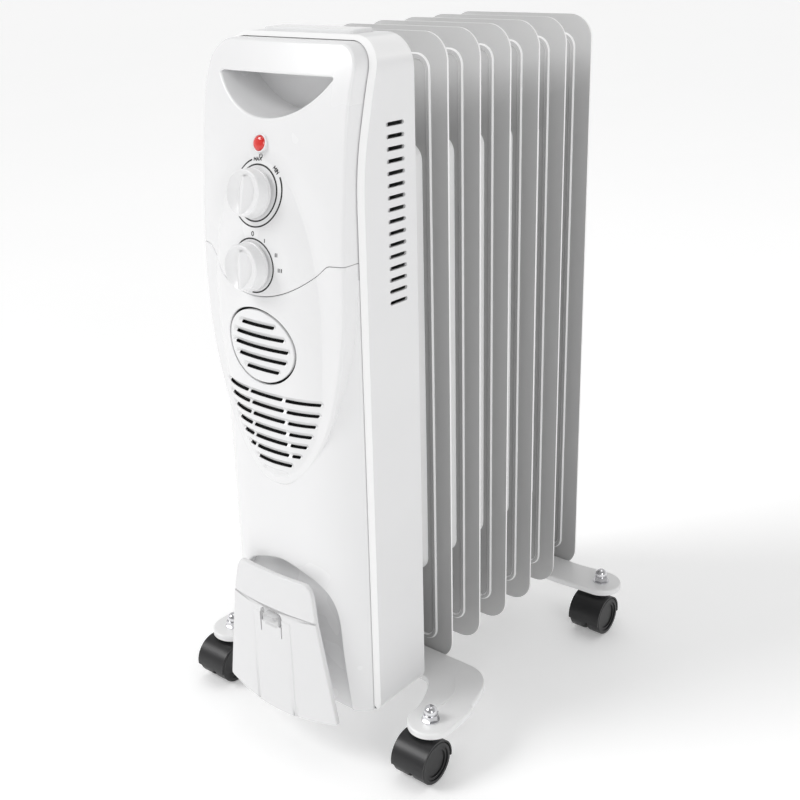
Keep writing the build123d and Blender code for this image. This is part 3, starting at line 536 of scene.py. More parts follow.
class Shape:
    """Triangles gathered in millimetres, with a normal for each corner, made into one object in metres."""

    def __init__(self):
        self.points, self.faces, self.normals = [], [], []
        self.count = 0

    def add(self, points, faces, normals):
        """points N x 3, faces M x 3 or M x 4, normals M x corners x 3."""
        self.points.append(np.asarray(points, float))
        self.faces += (np.asarray(faces) + self.count).tolist()
        self.normals.append(np.asarray(normals, float).reshape(-1, 3))
        self.count += len(points)

    def skin(self, loops, height, grid, lines=(), extra=(), flip=False):
        """A surface y = height(points) over X-Z, within loops[0] and outside the other loops.
        lines are open lines that the surface creases along, and extra more points. flip turns it to face +Y."""
        coords, edges = [], []

        def trace(line, closed):
            first = len(coords)
            coords.extend(line.tolist())
            edges.extend((first + i, first + i + 1) for i in range(len(line) - 1))
            if closed:
                edges.append((first + len(line) - 1, first))

        for loop in loops:
            trace(loop, True)
        for line in lines:
            trace(line, False)
        low, high = loops[0].min(0), loops[0].max(0)
        xs = np.arange(low[0] + grid / 2, high[0], grid)
        zs = np.arange(low[1] + grid / 2, high[1], grid)
        field = np.array(np.meshgrid(xs, zs)).reshape(2, -1).T
        keep = inside(field, loops[0])
        for group, closed, room in ((loops, True, 0.5), (lines, False, 0.35), (extra, True, 0.4)):
            for line in group:
                keep &= distance(field, line, closed) > room * grid
        coords.extend(field[keep].tolist())
        for line in extra:
            coords.extend(line.tolist())
        made = delaunay_2d_cdt([Vector(c) for c in coords], edges, [], 0, 1e-4)
        flat = np.array([(v.x, v.y) for v in made[0]])
        faces = np.array(made[2])
        middle = flat[faces].mean(1)
        keep = inside(middle, loops[0])
        for loop in loops[1:]:
            keep &= ~inside(middle, loop)
        faces = faces[keep]
        a, b, c = (flat[faces[:, i]] for i in range(3))
        area = (b[:, 0] - a[:, 0]) * (c[:, 1] - a[:, 1]) - (b[:, 1] - a[:, 1]) * (c[:, 0] - a[:, 0])
        faces = faces[np.abs(area) > 1e-7]
        clockwise = area[np.abs(area) > 1e-7] < 0
        faces[clockwise] = faces[clockwise][:, ::-1]
        used, faces = np.unique(faces, return_inverse=True)
        faces = faces.reshape(-1, 3)
        flat = flat[used]
        corners = flat[faces]
        towards = corners + 0.1 * (corners.mean(1, keepdims=True) - corners)
        normals = slope_normals(towards, height)
        if flip:
            faces, normals = faces[:, ::-1], -normals[:, ::-1]
        self.add(np.column_stack((flat[:, 0], height(flat), flat[:, 1])), faces, normals)

    def walls(self, loop, front, back, outward):
        """A strip from y = front to y = back behind a closed loop. outward is 1 when it faces away from the
        loop's middle, and -1 when it faces in."""
        count = len(loop)
        if turn_of(loop) < 0:
            loop, front, back = loop[::-1], front[::-1], back[::-1]
        after = steps_along(loop)
        away = np.column_stack((after[:, 1], -after[:, 0])) * outward
        before = np.roll(away, 1, axis=0)
        smooth = (away * before).sum(1) > 0.8
        blend = away + before
        blend /= np.hypot(blend[:, 0], blend[:, 1])[:, None] + 1e-9
        at_start = np.where(smooth[:, None], blend, away)
        at_end = np.where(np.roll(smooth, -1)[:, None], np.roll(blend, -1, axis=0), away)
        points = np.vstack((np.column_stack((loop[:, 0], front, loop[:, 1])),
                            np.column_stack((loop[:, 0], back, loop[:, 1]))))
        i = np.arange(count)
        j = (i + 1) % count
        faces = np.column_stack((i, i + count, j + count, j))
        start, end = (np.insert(normal, 1, 0, axis=1) for normal in (at_start, at_end))
        normals = np.stack((start, start, end, end), axis=1)
        if outward < 0:
            faces, normals = faces[:, ::-1], normals[:, ::-1]
        self.add(points, faces, normals)

    def lip(self, loop, height, depth, outward=-1):
        """The wall of an edge or an opening, depth deep all along it."""
        self.walls(loop, height(loop), height(loop) + depth, outward)

    def lathe(self, profile, steps=96):
        """A turned surface about the Y axis. profile is a list of (radius, y), from back to front, and a bend of
        under 35 degrees in it is smooth."""
        profile = np.array(profile, float)
        run = np.diff(profile, axis=0)
        run /= np.hypot(run[:, 0], run[:, 1])[:, None]
        away = np.column_stack((-run[:, 1], run[:, 0]))
        angles = np.arange(steps) / steps * 2 * math.pi
        ring = np.column_stack((np.cos(angles), np.sin(angles)))
        points = np.concatenate([np.column_stack((r * ring[:, 0], np.full(steps, y), r * ring[:, 1]))
                                 for r, y in profile])

        def turned(normal, spin):
            return np.column_stack((normal[0] * spin[:, 0], np.full(steps, normal[1]), normal[0] * spin[:, 1]))

        i = np.arange(steps)
        j = (i + 1) % steps
        for index in range(len(run)):
            first = last = away[index]
            if index and away[index] @ away[index - 1] > 0.82:
                first = away[index] + away[index - 1]
            if index < len(run) - 1 and away[index] @ away[index + 1] > 0.82:
                last = away[index] + away[index + 1]
            first, last = first / np.hypot(*first), last / np.hypot(*last)
            low, high = index * steps, (index + 1) * steps
            faces = np.column_stack((low + i, low + j, high + j, high + i))
            normals = np.stack((turned(first, ring), turned(first, ring[j]), turned(last, ring[j]),
                                turned(last, ring)), axis=1)
            if index == 0:
                self.add(points, faces, normals)
                self.base = self.count - len(points)
            else:
                self.faces += (faces + self.base).tolist()
                self.normals.append(normals.reshape(-1, 3))

    def place(self, tilt, z, out):
        """Turn everything to face up by tilt degrees, then move it to the face's middle at z, and out from there."""
        y = float(MIDDLE_Y(np.array([z]))[0])
        cos, sin = math.cos(math.radians(tilt)), math.sin(math.radians(tilt))
        turn = np.array(((1, 0, 0), (0, cos, sin), (0, -sin, cos)))
        shift = np.array((0, y - out * cos, z + out * sin))
        self.points = [points @ turn.T + shift for points in self.points]
        self.normals = [normals @ turn.T for normals in self.normals]

    def make(self, name, material, body, replaced=()):
        """The object, riding on a body and standing for the replaced CAD nodes."""
        mesh = bpy.data.meshes.new(name)
        points = np.vstack(self.points) * MM
        mesh.from_pydata(points.tolist(), [], self.faces)
        mesh.polygons.foreach_set("use_smooth", [True] * len(mesh.polygons))
        mesh.materials.append(material)
        piece = bpy.data.objects.new(name, mesh)
        scene.collection.objects.link(piece)
        normals = np.vstack(self.normals)
        normals /= np.linalg.norm(normals, axis=1)[:, None] + 1e-12
        mesh.normals_split_custom_set(normals.tolist())
        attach(piece, body)
        if replaced:
            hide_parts(*replaced)


def slope_normals(points, height):
    """Normals, facing -Y, of the surface y = height at each of an array of X-Z points."""
    shape = points.shape[:-1]
    flat = points.reshape(-1, 2)
    step = 0.002
    along_x = (height(flat + (step, 0)) - height(flat - (step, 0))) / (2 * step)
    along_z = (height(flat + (0, step)) - height(flat - (0, step))) / (2 * step)
    return np.column_stack((along_x, -np.ones(len(flat)), along_z)).reshape(*shape, 3)


# ---------------- the bulging front covers
FACE_HALF = 79.0
FACE_TOP = 630.5
FACE_CORNER = 21.5
TONGUE_START = 450.0
TONGUE_LENGTH = 186.0
SEAM_SHOULDER = 465.5
SEAM_DIP = 435.4
SEAM_HALF = 65.0
SEAM_GAP = 0.5
# Height, Y of the face on its middle line, and how far its sides fall back from that.
FACE_STATIONS = (
    (240, -180.5, 18.0),
    (347, -186.0, 18.0),
    (391, -189.5, 20.0),
    (430, -190.8, 21.0),
    (460, -189.8, 20.7),
    (517, -182.2, 17.4),
    (555, -173.5, 12.4),
    (590, -162.1, 6.3),
    (645, -135.1, 0.4),
)
STATION_Z, STATION_Y, STATION_FALL = zip(*FACE_STATIONS)
MIDDLE_Y = cubic(STATION_Z, STATION_Y)
SIDE_FALL = cubic(STATION_Z, STATION_FALL)
BASE_MIDDLE_Y = -177.5
BASE_FALL = 24.0
TONGUE_BACK_Y = -112.0
EDGE_R = 2.4
SEAM_R = 0.8
# Right half of the raised egg round the dials and the grille, from its top down.
EGG = mirrored(curve_through([(0, 543), (17, 537), (31, 524), (42, 505), (50, 484), (55.5, 459.5), (58.5, 434),
                              (58.3, 402), (56, 367), (53.5, 343), (46, 317), (35, 296), (20, 279), (0, 270)],
                             False, 6))
EGG_RISE = 3.2
EGG_SHOULDER = 26.0
EGG_FADE = 13.0
TONGUE = mirrored(np.vstack((
    straight((0, FACE_TOP), (FACE_HALF - FACE_CORNER, FACE_TOP)),
    arc(FACE_HALF - FACE_CORNER, FACE_TOP - FACE_CORNER, FACE_CORNER, FACE_CORNER, 90, 0, 16),
    straight((FACE_HALF, FACE_TOP - FACE_CORNER), (FACE_HALF, TONGUE_START)),
    arc(0, TONGUE_START, FACE_HALF, TONGUE_LENGTH, 0, -90, 90),
)))
GRILLE_Z = 391.7
GRILLE_HALF_WIDTH = 38.0
GRILLE_HALF_HEIGHT = 33.5
GRILLE_ROWS = (21.5, 30.0, 33.0, 30.0, 21.5)
GRILLE_PITCH = 9.8
GRILLE_OVAL = ellipse(GRILLE_Z, GRILLE_HALF_WIDTH, GRILLE_HALF_HEIGHT, 120)
ROW_TOP_Z = 347.0
ROW_PITCH = 10.3
ROW_HALF_WIDTHS = (53.0, 50.5, 46.5, 42.0, 36.5, 29.5, 19.5)
ROW_BRIDGE_X = 20.0
BRIDGE = 2.6
SLOT_HEIGHT = 2.2
SCOOP_RISE = 3.6
SCOOP_DEPTH = 2.4
SCOOP_END = 3.0
GROOVE_WIDTH = 2.0
SKIN = 2.4
SHADE_SHEET_GAP = 1.8
SLOT_LIP = 0.8


def seam(x):
    """Height of the seam between the covers: level shoulders and a dip below the lower dial."""
    radius = (SEAM_HALF ** 2 + (SEAM_SHOULDER - SEAM_DIP) ** 2) / (2 * (SEAM_SHOULDER - SEAM_DIP))
    dip = SEAM_DIP + radius - np.sqrt(np.maximum(radius ** 2 - x ** 2, 0))
    blend = 1.2
    return SEAM_SHOULDER - blend * np.log1p(np.exp(np.clip((SEAM_SHOULDER - dip) / blend, -30, 30)))


def seam_line(shift):
    """The seam from right to left, moved up by shift."""
    x = np.linspace(FACE_HALF, -FACE_HALF, 121)
    return np.column_stack((x, seam(x) + shift))


def slot_outline(left, right, z):
    """A long slot with round ends."""
    radius = SLOT_HEIGHT / 2
    return clean(np.vstack((
        arc(right - radius, z, radius, radius, -90, 90, 8),
        straight((right - radius, z + radius), (left + radius, z + radius), 4.0),
        arc(left + radius, z, radius, radius, 90, 270, 8),
        straight((left + radius, z - radius), (right - radius, z - radius), 4.0),
    )))


def scoop(points, half, z):
    """The sloping throat above one row of slots."""
    x, height = np.abs(points[:, 0]), points[:, 1] - z
    top = SLOT_HEIGHT / 2 + SCOOP_RISE
    above = (top - height) / SCOOP_RISE
    below = (height + SLOT_HEIGHT / 2) / SLOT_HEIGHT
    ends = np.clip((half + SCOOP_END - x) / SCOOP_END, 0, 1)
    return SCOOP_DEPTH * np.clip(np.minimum(above, below), 0, 1) * ends


def scoop_lines(half, z):
    """The creases of one row's throat."""
    low, open_top = z - SLOT_HEIGHT / 2, z + SLOT_HEIGHT / 2
    top = open_top + SCOOP_RISE
    wide = half + SCOOP_END
    lines = [np.vstack((straight((-wide, level), (wide, level)), [(wide, level)])) for level in (low, top)]
    for side in (-1, 1):
        lines.append(np.array([(side * wide, low), (side * wide, open_top), (side * wide, top)]))
        lines.append(np.array([(side * half, open_top + 0.05), (side * half, top)]))
        lines.append(np.array([(side * (half + 0.1), open_top), (side * wide, open_top)]))
    return lines


def face_y(points):
    """The bulging face with its raised egg, without edges or openings."""
    x, z = points[:, 0], points[:, 1]
    y = MIDDLE_Y(z) + SIDE_FALL(z) * (x / FACE_HALF) ** 2
    gap = distance(points, EGG)
    within = inside(points, EGG)
    shoulder = np.clip(1 - gap / EGG_SHOULDER, 0, 1) ** 2
    return y + EGG_RISE * np.where(within, shoulder, np.exp(-(gap / EGG_FADE) ** 2))


def base_y(points):
    """The bowed panel below and behind the raised face."""
    return BASE_MIDDLE_Y + BASE_FALL * (np.abs(points[:, 0]) / FACE_HALF) ** 3.5


GRIP_HALF = 62.0
GRIP_TOP_Z = 606.0
GRIP_LOW_Z = 573.5
GRIP_BACK_Y = -114.0
GRIP_R = 1.6


def grip_outline():
    """Half moon of the hand grip with rounded corners."""
    depth = GRIP_TOP_Z - GRIP_LOW_Z
    radius = (GRIP_HALF ** 2 + depth ** 2) / (2 * depth)
    sweep = math.degrees(math.asin((GRIP_HALF - 3.5) / radius))
    low = arc(0, GRIP_LOW_Z + radius, radius, radius, -90, -90 + sweep, 30)
    corner = curve_through([low[-1], (GRIP_HALF - 1.2, GRIP_TOP_Z - 1.5), (GRIP_HALF - 3.2, GRIP_TOP_Z)], False, 5)
    top = straight((GRIP_HALF - 3.2, GRIP_TOP_Z), (0, GRIP_TOP_Z), 4.0)
    return mirrored(np.vstack((low, corner[1:], top[1:], [(0, GRIP_TOP_Z)])))


def edge_rings(loop, radius):
    """Lines beside a rounded edge, closer together near it."""
    return [inset(loop, radius * (1 - math.cos(math.radians(angle)))) for angle in (25, 45, 65, 90)]


def tongue_parts():
    """The outline of the raised face above the seam, and below it, both from left to right going round."""
    above = TONGUE[:, 1] > SEAM_SHOULDER + 2
    below = TONGUE[:, 1] < SEAM_SHOULDER - 2
    first, last = np.flatnonzero(~above)[[0, -1]]
    return np.vstack((TONGUE[last + 1:], TONGUE[:first])), TONGUE[below]


def make_control_cover():
    """Upper cover: the raised face above the seam, with the hand grip. Its lamp and dials are made apart."""
    outline = clean(np.vstack((tongue_parts()[0], seam_line(SEAM_GAP / 2))))
    grip = grip_outline()

    def height(points):
        y = face_y(points) + round_over(distance(points, TONGUE), EDGE_R)
        y = y + round_over(distance(points, seam_line(SEAM_GAP / 2), False), SEAM_R)
        return y + round_over(distance(points, grip), GRIP_R)

    cover = Shape()
    beside_grip = [inset(grip, -GRIP_R * share) for share in (0.1, 0.3, 0.6, 1.0)]
    cover.skin([outline, grip], height, 3.2, extra=edge_rings(outline, EDGE_R) + beside_grip + [EGG])
    cover.walls(outline, height(outline), np.full(len(outline), TONGUE_BACK_Y), 1)
    cover.walls(grip, height(grip), np.full(len(grip), GRIP_BACK_Y), -1)
    cover.skin([grip], lambda points: np.full(len(points), GRIP_BACK_Y), 6.0)
    cover.make("control_cover_shell", MATERIALS["cover_plastic"], "heater", ["control_cover"])


ARCH_FLOOR_Y = -163.0
COVER_FOOT_Z = 52.5
ARCH_R = 2.0
# The bowed panel: how far it passes the face's sides, where it ends, and how far it tucks behind the raised face.
PANEL_PROUD = 0.4
PANEL_TOP_Z = 452.0
PANEL_TUCK = 8.0


def arch_line():
    """The cord recess from its right foot over its top to its left foot."""
    return curve_through([(64.5, COVER_FOOT_Z), (61, 90), (59, 116), (57.5, 142), (54, 158.5), (46.5, 171.5),
                          (31, 181.5), (0, 189), (-31, 181.5), (-46.5, 171.5), (-54, 158.5), (-57.5, 142),
                          (-59, 116), (-61, 90), (-64.5, COVER_FOOT_Z)], False, 7)


def make_lower_cover():
    """Lower cover: the foot of the raised face with its slots, the bowed panel and the cord recess."""
    outline = clean(np.vstack((tongue_parts()[1], seam_line(-SEAM_GAP / 2)[::-1])))
    rows = [(half, ROW_TOP_Z - number * ROW_PITCH) for number, half in enumerate(ROW_HALF_WIDTHS)]
    slots, creases = [], []
    for number, (half, z) in enumerate(rows):
        ends = [-half, half]
        if number < len(rows) - 1:
            ends = [-half, -ROW_BRIDGE_X - BRIDGE / 2, -ROW_BRIDGE_X + BRIDGE / 2,
                    ROW_BRIDGE_X - BRIDGE / 2, ROW_BRIDGE_X + BRIDGE / 2, half]
        slots += [slot_outline(left, right, z) for left, right in zip(ends[::2], ends[1::2])]
        creases += scoop_lines(half, z)
    blind = (13.0, ROW_TOP_Z - len(rows) * ROW_PITCH)
    creases += scoop_lines(*blind)

    def height(points):
        y = face_y(points) + round_over(distance(points, TONGUE), EDGE_R)
        y = y + round_over(distance(points, seam_line(-SEAM_GAP / 2), False), SEAM_R)
        for half, z in rows:
            y = y + scoop(points, half, z)
        y = y + 0.6 * scoop(points, *blind)
        return y + round_over(distance(points, GRILLE_OVAL), 0.5)

    cover = Shape()
    beside_oval = [inset(GRILLE_OVAL, -0.5)]
    cover.skin([outline, GRILLE_OVAL] + slots, height, 3.2, creases,
               edge_rings(outline, EDGE_R) + beside_oval + [EGG])
    reach = np.maximum(height(outline) + 1, base_y(outline) + 1)
    at_side = np.abs(outline[:, 0]) > FACE_HALF - 0.4
    cover.walls(outline, height(outline), np.where(at_side, TONGUE_BACK_Y, reach), 1)
    for slot in slots:
        cover.lip(slot, height, SLOT_LIP)
    cover.lip(GRILLE_OVAL, height, SKIN)

    arch = arch_line()
    foot = COVER_FOOT_Z
    side = FACE_HALF + PANEL_PROUD
    tuck = FACE_HALF - PANEL_TUCK
    panel = clean(np.vstack((
        straight((-side, foot), arch[-1], 4.0),
        arch[::-1],
        straight(arch[0], (side, foot), 4.0),
        straight((side, foot), (side, PANEL_TOP_Z), 6.0),
        straight((side, PANEL_TOP_Z), (tuck, PANEL_TOP_Z), 8.0),
        arc(0, TONGUE_START, tuck, TONGUE_LENGTH - PANEL_TUCK, 0, -180, 90),
        straight((-tuck, PANEL_TOP_Z), (-side, PANEL_TOP_Z), 8.0),
        straight((-side, PANEL_TOP_Z), (-side, foot), 6.0),
    )))

    def panel_height(points):
        return base_y(points) + round_over(distance(points, arch, False), ARCH_R)

    cover.skin([panel], panel_height, 6.0, extra=edge_rings(panel, ARCH_R))
    cover.walls(panel, panel_height(panel), np.maximum(panel_height(panel) + 2, ARCH_FLOOR_Y), 1)
    floor = clean(np.vstack((arch, straight(arch[-1], arch[0], 8.0))))
    cover.skin([floor], lambda points: np.full(len(points), ARCH_FLOOR_Y), 10.0)
    cover.make("lower_cover_shell", MATERIALS["cover_plastic"], "heater", ["lower_cover"])


def make_round_grille():
    """Oval louvre set in the lower cover, with a dark groove round it."""
    oval = ellipse(GRILLE_Z, GRILLE_HALF_WIDTH - GROOVE_WIDTH, GRILLE_HALF_HEIGHT - GROOVE_WIDTH, 120)
    middle = (len(GRILLE_ROWS) - 1) / 2
    rows = [(half, GRILLE_Z + (middle - number) * GRILLE_PITCH - 1.2) for number, half in enumerate(GRILLE_ROWS)]
    rows = [(half - SCOOP_END, z) for half, z in rows]
    slots = [slot_outline(-half, half, z) for half, z in rows]
    creases = [line for half, z in rows for line in scoop_lines(half, z)]

    def height(points):
        y = face_y(points) + round_over(distance(points, oval), 0.6)
        for half, z in rows:
            y = y + scoop(points, half, z)
        return y

    grille = Shape()
    grille.skin([oval] + slots, height, 3.0, creases, edge_rings(oval, 0.6))
    grille.lip(oval, height, SKIN, 1)
    for slot in slots:
        grille.lip(slot, height, SLOT_LIP)
    grille.make("round_grille_plate", MATERIALS["cover_plastic"], "heater", ["round_grille"])


def make_slot_shade_sheet():
    """A dark sheet behind the grille and the slot rows: painted shade for the dark inside of the heater seen through
    the openings.
    """
    outline = mirrored(curve_through([(0, 432), (32, 427), (50, 408), (60, 378), (61.5, 350), (58, 326),
                                      (49, 302), (34, 282), (0, 268)], False, 5))
    backing = Shape()
    backing.skin([outline], lambda points: face_y(points) + SKIN + SHADE_SHEET_GAP, 6.0)
    backing.make("slot_shade_sheet", MATERIALS["backing"], "heater")


# ---------------- dials and lamp
FACE_RADIUS = 18.6
SKIRT_R = 19.8
STANDOFF = 1.3
DIAL_HEIGHT = 12.5
DISH_R = 17.3
DISH_DEPTH = 6.6
BLADE_SLOPE = 0.66
BLADE_RISE = -0.1
BLADE_TOP = 12.8
BLADE_END_SLOPE = 2.6
DIALS = {"thermostat": (517.0, 11.0), "selector": (460.0, 4.0)}
DIAL_EDGE_R = 1.3
LAMP_Z = 555.0
LAMP_TILT = 15.0
LAMP_SEAT = 0.3
LENS_PROFILE = [(6.1, 3.0), (6.1, -0.3), (5.3, -1.35), (5.0, -1.6), (4.2, -2.0), (3.0, -2.35), (1.5, -2.55),
                (0.0, -2.6)]
COLLAR_PROFILE = [(7.6, 3.0), (7.6, -0.1), (7.3, -0.5), (6.8, -0.6), (6.3, -0.4), (6.15, 0.2)]


def blade_edge(v):
    """Half width of the grip where its sloping sides meet the dish, at heights v up the dial."""
    a = DISH_DEPTH / DISH_R ** 2
    c = BLADE_RISE + DISH_DEPTH * (1 - (v / DISH_R) ** 2)
    return (-BLADE_SLOPE + np.sqrt(BLADE_SLOPE ** 2 + 4 * a * np.maximum(c, 0))) / (2 * a)


def dial_height(points):
    """Front of a dial about its own middle: rim, dish and grip."""
    u, v = points[:, 0], points[:, 1]
    radius = np.hypot(u, v)
    dish = -DISH_DEPTH * np.clip(1 - (radius / DISH_R) ** 2, 0, 1)
    roof = BLADE_RISE - BLADE_SLOPE * (np.sqrt(u ** 2 + 0.25) - 0.5)
    end = BLADE_RISE - BLADE_END_SLOPE * (v - BLADE_TOP)
    blade = np.where(radius < DISH_R, np.minimum(roof, end), -99)
    return -(DIAL_HEIGHT + np.maximum(dish, blade) - round_over(FACE_RADIUS - radius, DIAL_EDGE_R))


def make_dial(name, z, tilt):
    """A turning knob: skirt, tapered side, rounded rim and dished face with a grip across it."""
    dial = Shape()
    rim = ellipse(0, FACE_RADIUS, FACE_RADIUS, 96)
    dish_edge = ellipse(0, DISH_R, DISH_R, 96)
    v = np.linspace(-DISH_R + 0.3, BLADE_TOP + 1.0, 24)
    creases = [np.column_stack((side * blade_edge(v), v)) for side in (-1, 1)]
    creases += [np.column_stack((np.full(24, u), v)) for u in (-0.9, -0.3, 0.3, 0.9)]
    dial.skin([rim], dial_height, 1.6, creases, edge_rings(rim, DIAL_EDGE_R) + [dish_edge])
    top = DIAL_EDGE_R - DIAL_HEIGHT
    side = [(0.0, -0.2), (SKIRT_R - 0.5, -0.2), (SKIRT_R, -0.7), (SKIRT_R, -2.7), (SKIRT_R - 0.6, -3.1),
            (SKIRT_R - 0.65, -3.3), (FACE_RADIUS, top)]
    dial.lathe(side)
    dial.place(tilt, z, STANDOFF)
    dial.make(name + "_dial", MATERIALS["dial_plastic"], name + "_dial", [name + "_knob"])


def make_lamp():
    """Red pilot lens, a low dome with a bevelled edge, in a thin white collar."""
    lens = Shape()
    lens.lathe(LENS_PROFILE)
    lens.place(LAMP_TILT, LAMP_Z, LAMP_SEAT)
    lens.make("pilot_lens", MATERIALS["lamp_red"], "heater", ["lamp_lens"])
    collar = Shape()
    collar.lathe(COLLAR_PROFILE)
    collar.place(LAMP_TILT, LAMP_Z, LAMP_SEAT)
    collar.make("pilot_collar", MATERIALS["cover_plastic"], "heater")


# ---------------- printed marks
LETTERS = {
    "M": [[(0, 0), (0, 1)], [(0, 1), (0.45, 0.3)], [(0.45, 0.3), (0.9, 1)], [(0.9, 1), (0.9, 0)]],
    "A": [[(0, 0), (0.42, 1)], [(0.42, 1), (0.84, 0)], [(0.17, 0.33), (0.67, 0.33)]],
    "X": [[(0, 0), (0.8, 1)], [(0, 1), (0.8, 0)]],
    "I": [[(0.1, 0), (0.1, 1)]],
    "N": [[(0, 0), (0, 1)], [(0, 1), (0.75, 0)], [(0.75, 0), (0.75, 1)]],
}
LETTER_HEIGHT = 2.6
LETTER_STROKE = 0.6
LETTER_GAP = 0.3
RING_STROKE = 1.2
# Radii of the printed rings: the whole ring round the thermostat, its outer part ring, and the selector's.
WARM_RING = 21.6
WARM_SCALE = 26.0
POWER_RING = 21.7
# Each selector mark: its strokes, its angle clockwise from the top, and its distance from the dial's middle.
POWER_MARKS = ((1, 31, 25.0), (2, 65, 27.0), (3, 91, 28.0))
ZERO_REACH = 25.6
TALLY_GAP = 1.5
TALLY_HALF = 1.3
TALLY_STROKE = 0.72
LAMP_MARK_DROP = 10.2
INK_LIFT = 0.07


def bar(start, end, width):
    """A straight stroke."""
    start, end = np.array(start, float), np.array(end, float)
    along = (end - start) / np.hypot(*(end - start))
    across = np.array((-along[1], along[0])) * width / 2
    start, end = start - along * width / 3, end + along * width / 3
    return np.array((start - across, end - across, end + across, start + across))


def ring_stroke(centre_z, radius, start, end):
    """Part of a printed ring. Angles run clockwise from the top, in degrees."""
    steps = max(8, int(abs(end - start) / 3))
    outer = arc(0, centre_z, radius + RING_STROKE / 2, radius + RING_STROKE / 2, 90 - start, 90 - end, steps)
    inner = arc(0, centre_z, radius - RING_STROKE / 2, radius - RING_STROKE / 2, 90 - end, 90 - start, steps)
    return clean(np.vstack((outer, inner)))


def word(text, centre_z, radius, angle):
    """Strokes of a word set square to a dial, with its middle at an angle clockwise from the top."""
    widths = [max(p[0] for stroke in LETTERS[letter] for p in stroke) for letter in text]
    total = sum(widths) + LETTER_GAP * (len(text) - 1)
    turn = math.radians(angle)
    right = np.array((math.cos(turn), -math.sin(turn)))
    out = np.array((math.sin(turn), math.cos(turn)))
    origin = np.array((0, centre_z)) + out * radius
    strokes, at = [], -total / 2
    for letter, width in zip(text, widths):
        for start, end in LETTERS[letter]:
            ends = [origin + (right * (at + x) + out * y) * LETTER_HEIGHT for x, y in (start, end)]
            strokes.append(bar(*ends, LETTER_STROKE))
        at += width + LETTER_GAP
    return strokes


def make_prints():
    """The dial scales, printed in black on the face."""
    warm, power = DIALS["thermostat"][0], DIALS["selector"][0]
    rings = [WARM_RING + side * RING_STROKE / 2 for side in (1, -1)]
    shapes = [[ellipse(warm, radius, radius, 120) for radius in rings]]
    shapes += [[ring_stroke(warm, WARM_SCALE, 58, 339)], [ring_stroke(power, POWER_RING, -62, 182)]]
    shapes += [[stroke] for stroke in word("MIN", warm, 24.3, 43) + word("MAX", warm, 24.4, -7)]
    shapes.append([ellipse(power + ZERO_REACH, *radii, 24) for radii in ((1.5, 2.0), (0.75, 1.25))])
    for count, angle, reach in POWER_MARKS:
        x, z = reach * math.sin(math.radians(angle)), power + reach * math.cos(math.radians(angle))
        for number in range(count):
            left = x + (number - (count - 1) / 2) * TALLY_GAP
            shapes.append([bar((left, z - TALLY_HALF), (left, z + TALLY_HALF), TALLY_STROKE)])
    mark_z = LAMP_Z - LAMP_MARK_DROP
    ring = clean(np.vstack((arc(0, mark_z, 2.0, 2.0, 130, 410, 30), arc(0, mark_z, 1.3, 1.3, 410, 130, 30))))
    shapes.append([ring])
    shapes.append([bar((0, mark_z + 0.5), (0, mark_z + 2.1), 0.6)])

    def front(points):
        return face_y(points) - INK_LIFT

    ink = Shape()
    for loops in shapes:
        ink.skin(loops, front, 2.0)
        for number, loop in enumerate(loops):
            ink.lip(loop, front, 2 * INK_LIFT, -1 if number else 1)
    ink.make("dial_scales", MATERIALS["ink"], "heater")


# ---------------- cord plate
PLATE_FRONT_Y = -196.4
PLATE_CROWN = 0.00175
PLATE_THICK = 4.6
PLATE_TOP_Z = 183.0
PLATE_BAND_Z = 148.5
PLATE_BAND_LEAN = 0.085
PLATE_EDGE_R = 1.4
STRIP_HALF = 23.0
STRIP_TOP_Z = 141.5
STRIP_RISE = 0.6
STRIP_SLOPE = 1.1
DRUM_X, DRUM_LOW_Z, DRUM_HIGH_Z, DRUM_R = 11, 76, 108, 12
CLIP_HALF = 13.2
CLIP_TOP_Z = 147.3
CLIP_LOW_Z = 133.5
SLIT_LOW_Z = 122.5
SLIT_WIDTH = 1.3
TAB_HALF = 9.4
TAB_TOP_Z = 143.3
TAB_RISE = 3.4


def plate_outline():
    """The plate from its top middle, round its right side, along its sagging foot and back."""
    corner = curve_through([(33, PLATE_TOP_Z), (39.5, PLATE_TOP_Z - 0.8), (43.5, PLATE_TOP_Z - 4.5),
                            (46.2, PLATE_TOP_Z - 11)], False, 6)
    side = straight((46.2, PLATE_TOP_Z - 11), (66.6, 54), 4.0)
    foot = curve_through([(66.6, 54), (66.4, 51.2), (63.5, 49.8)], False, 4)
    sag = curve_through([(63.5, 49.8), (42, 46.6), (21, 44.6), (0, 43.9)], False, 5)
    top = straight((0, PLATE_TOP_Z), (33, PLATE_TOP_Z), 4.0)
    return mirrored(np.vstack((top, corner[:-1], side[:-1], foot[:-1], sag)))


PLATE = plate_outline()


def clip_outline():
    """Opening round the plug clip: an arch over the tab, ending in a slit down each side."""
    crown = curve_through([(CLIP_HALF, CLIP_TOP_Z - 5), (CLIP_HALF - 1.6, CLIP_TOP_Z - 1.6),
                           (CLIP_HALF - 5.5, CLIP_TOP_Z), (0, CLIP_TOP_Z)], False, 5)[::-1]
    tab = curve_through([(TAB_HALF, CLIP_LOW_Z), (TAB_HALF, TAB_TOP_Z - 4), (TAB_HALF - 1.2, TAB_TOP_Z - 1.2),
                         (TAB_HALF - 4, TAB_TOP_Z), (0, TAB_TOP_Z)], False, 5)
    slit_in = CLIP_HALF - SLIT_WIDTH
    slit = [(CLIP_HALF, SLIT_LOW_Z), (slit_in, SLIT_LOW_Z), (slit_in, CLIP_LOW_Z)]
    return mirrored(np.vstack((crown, slit, tab)))


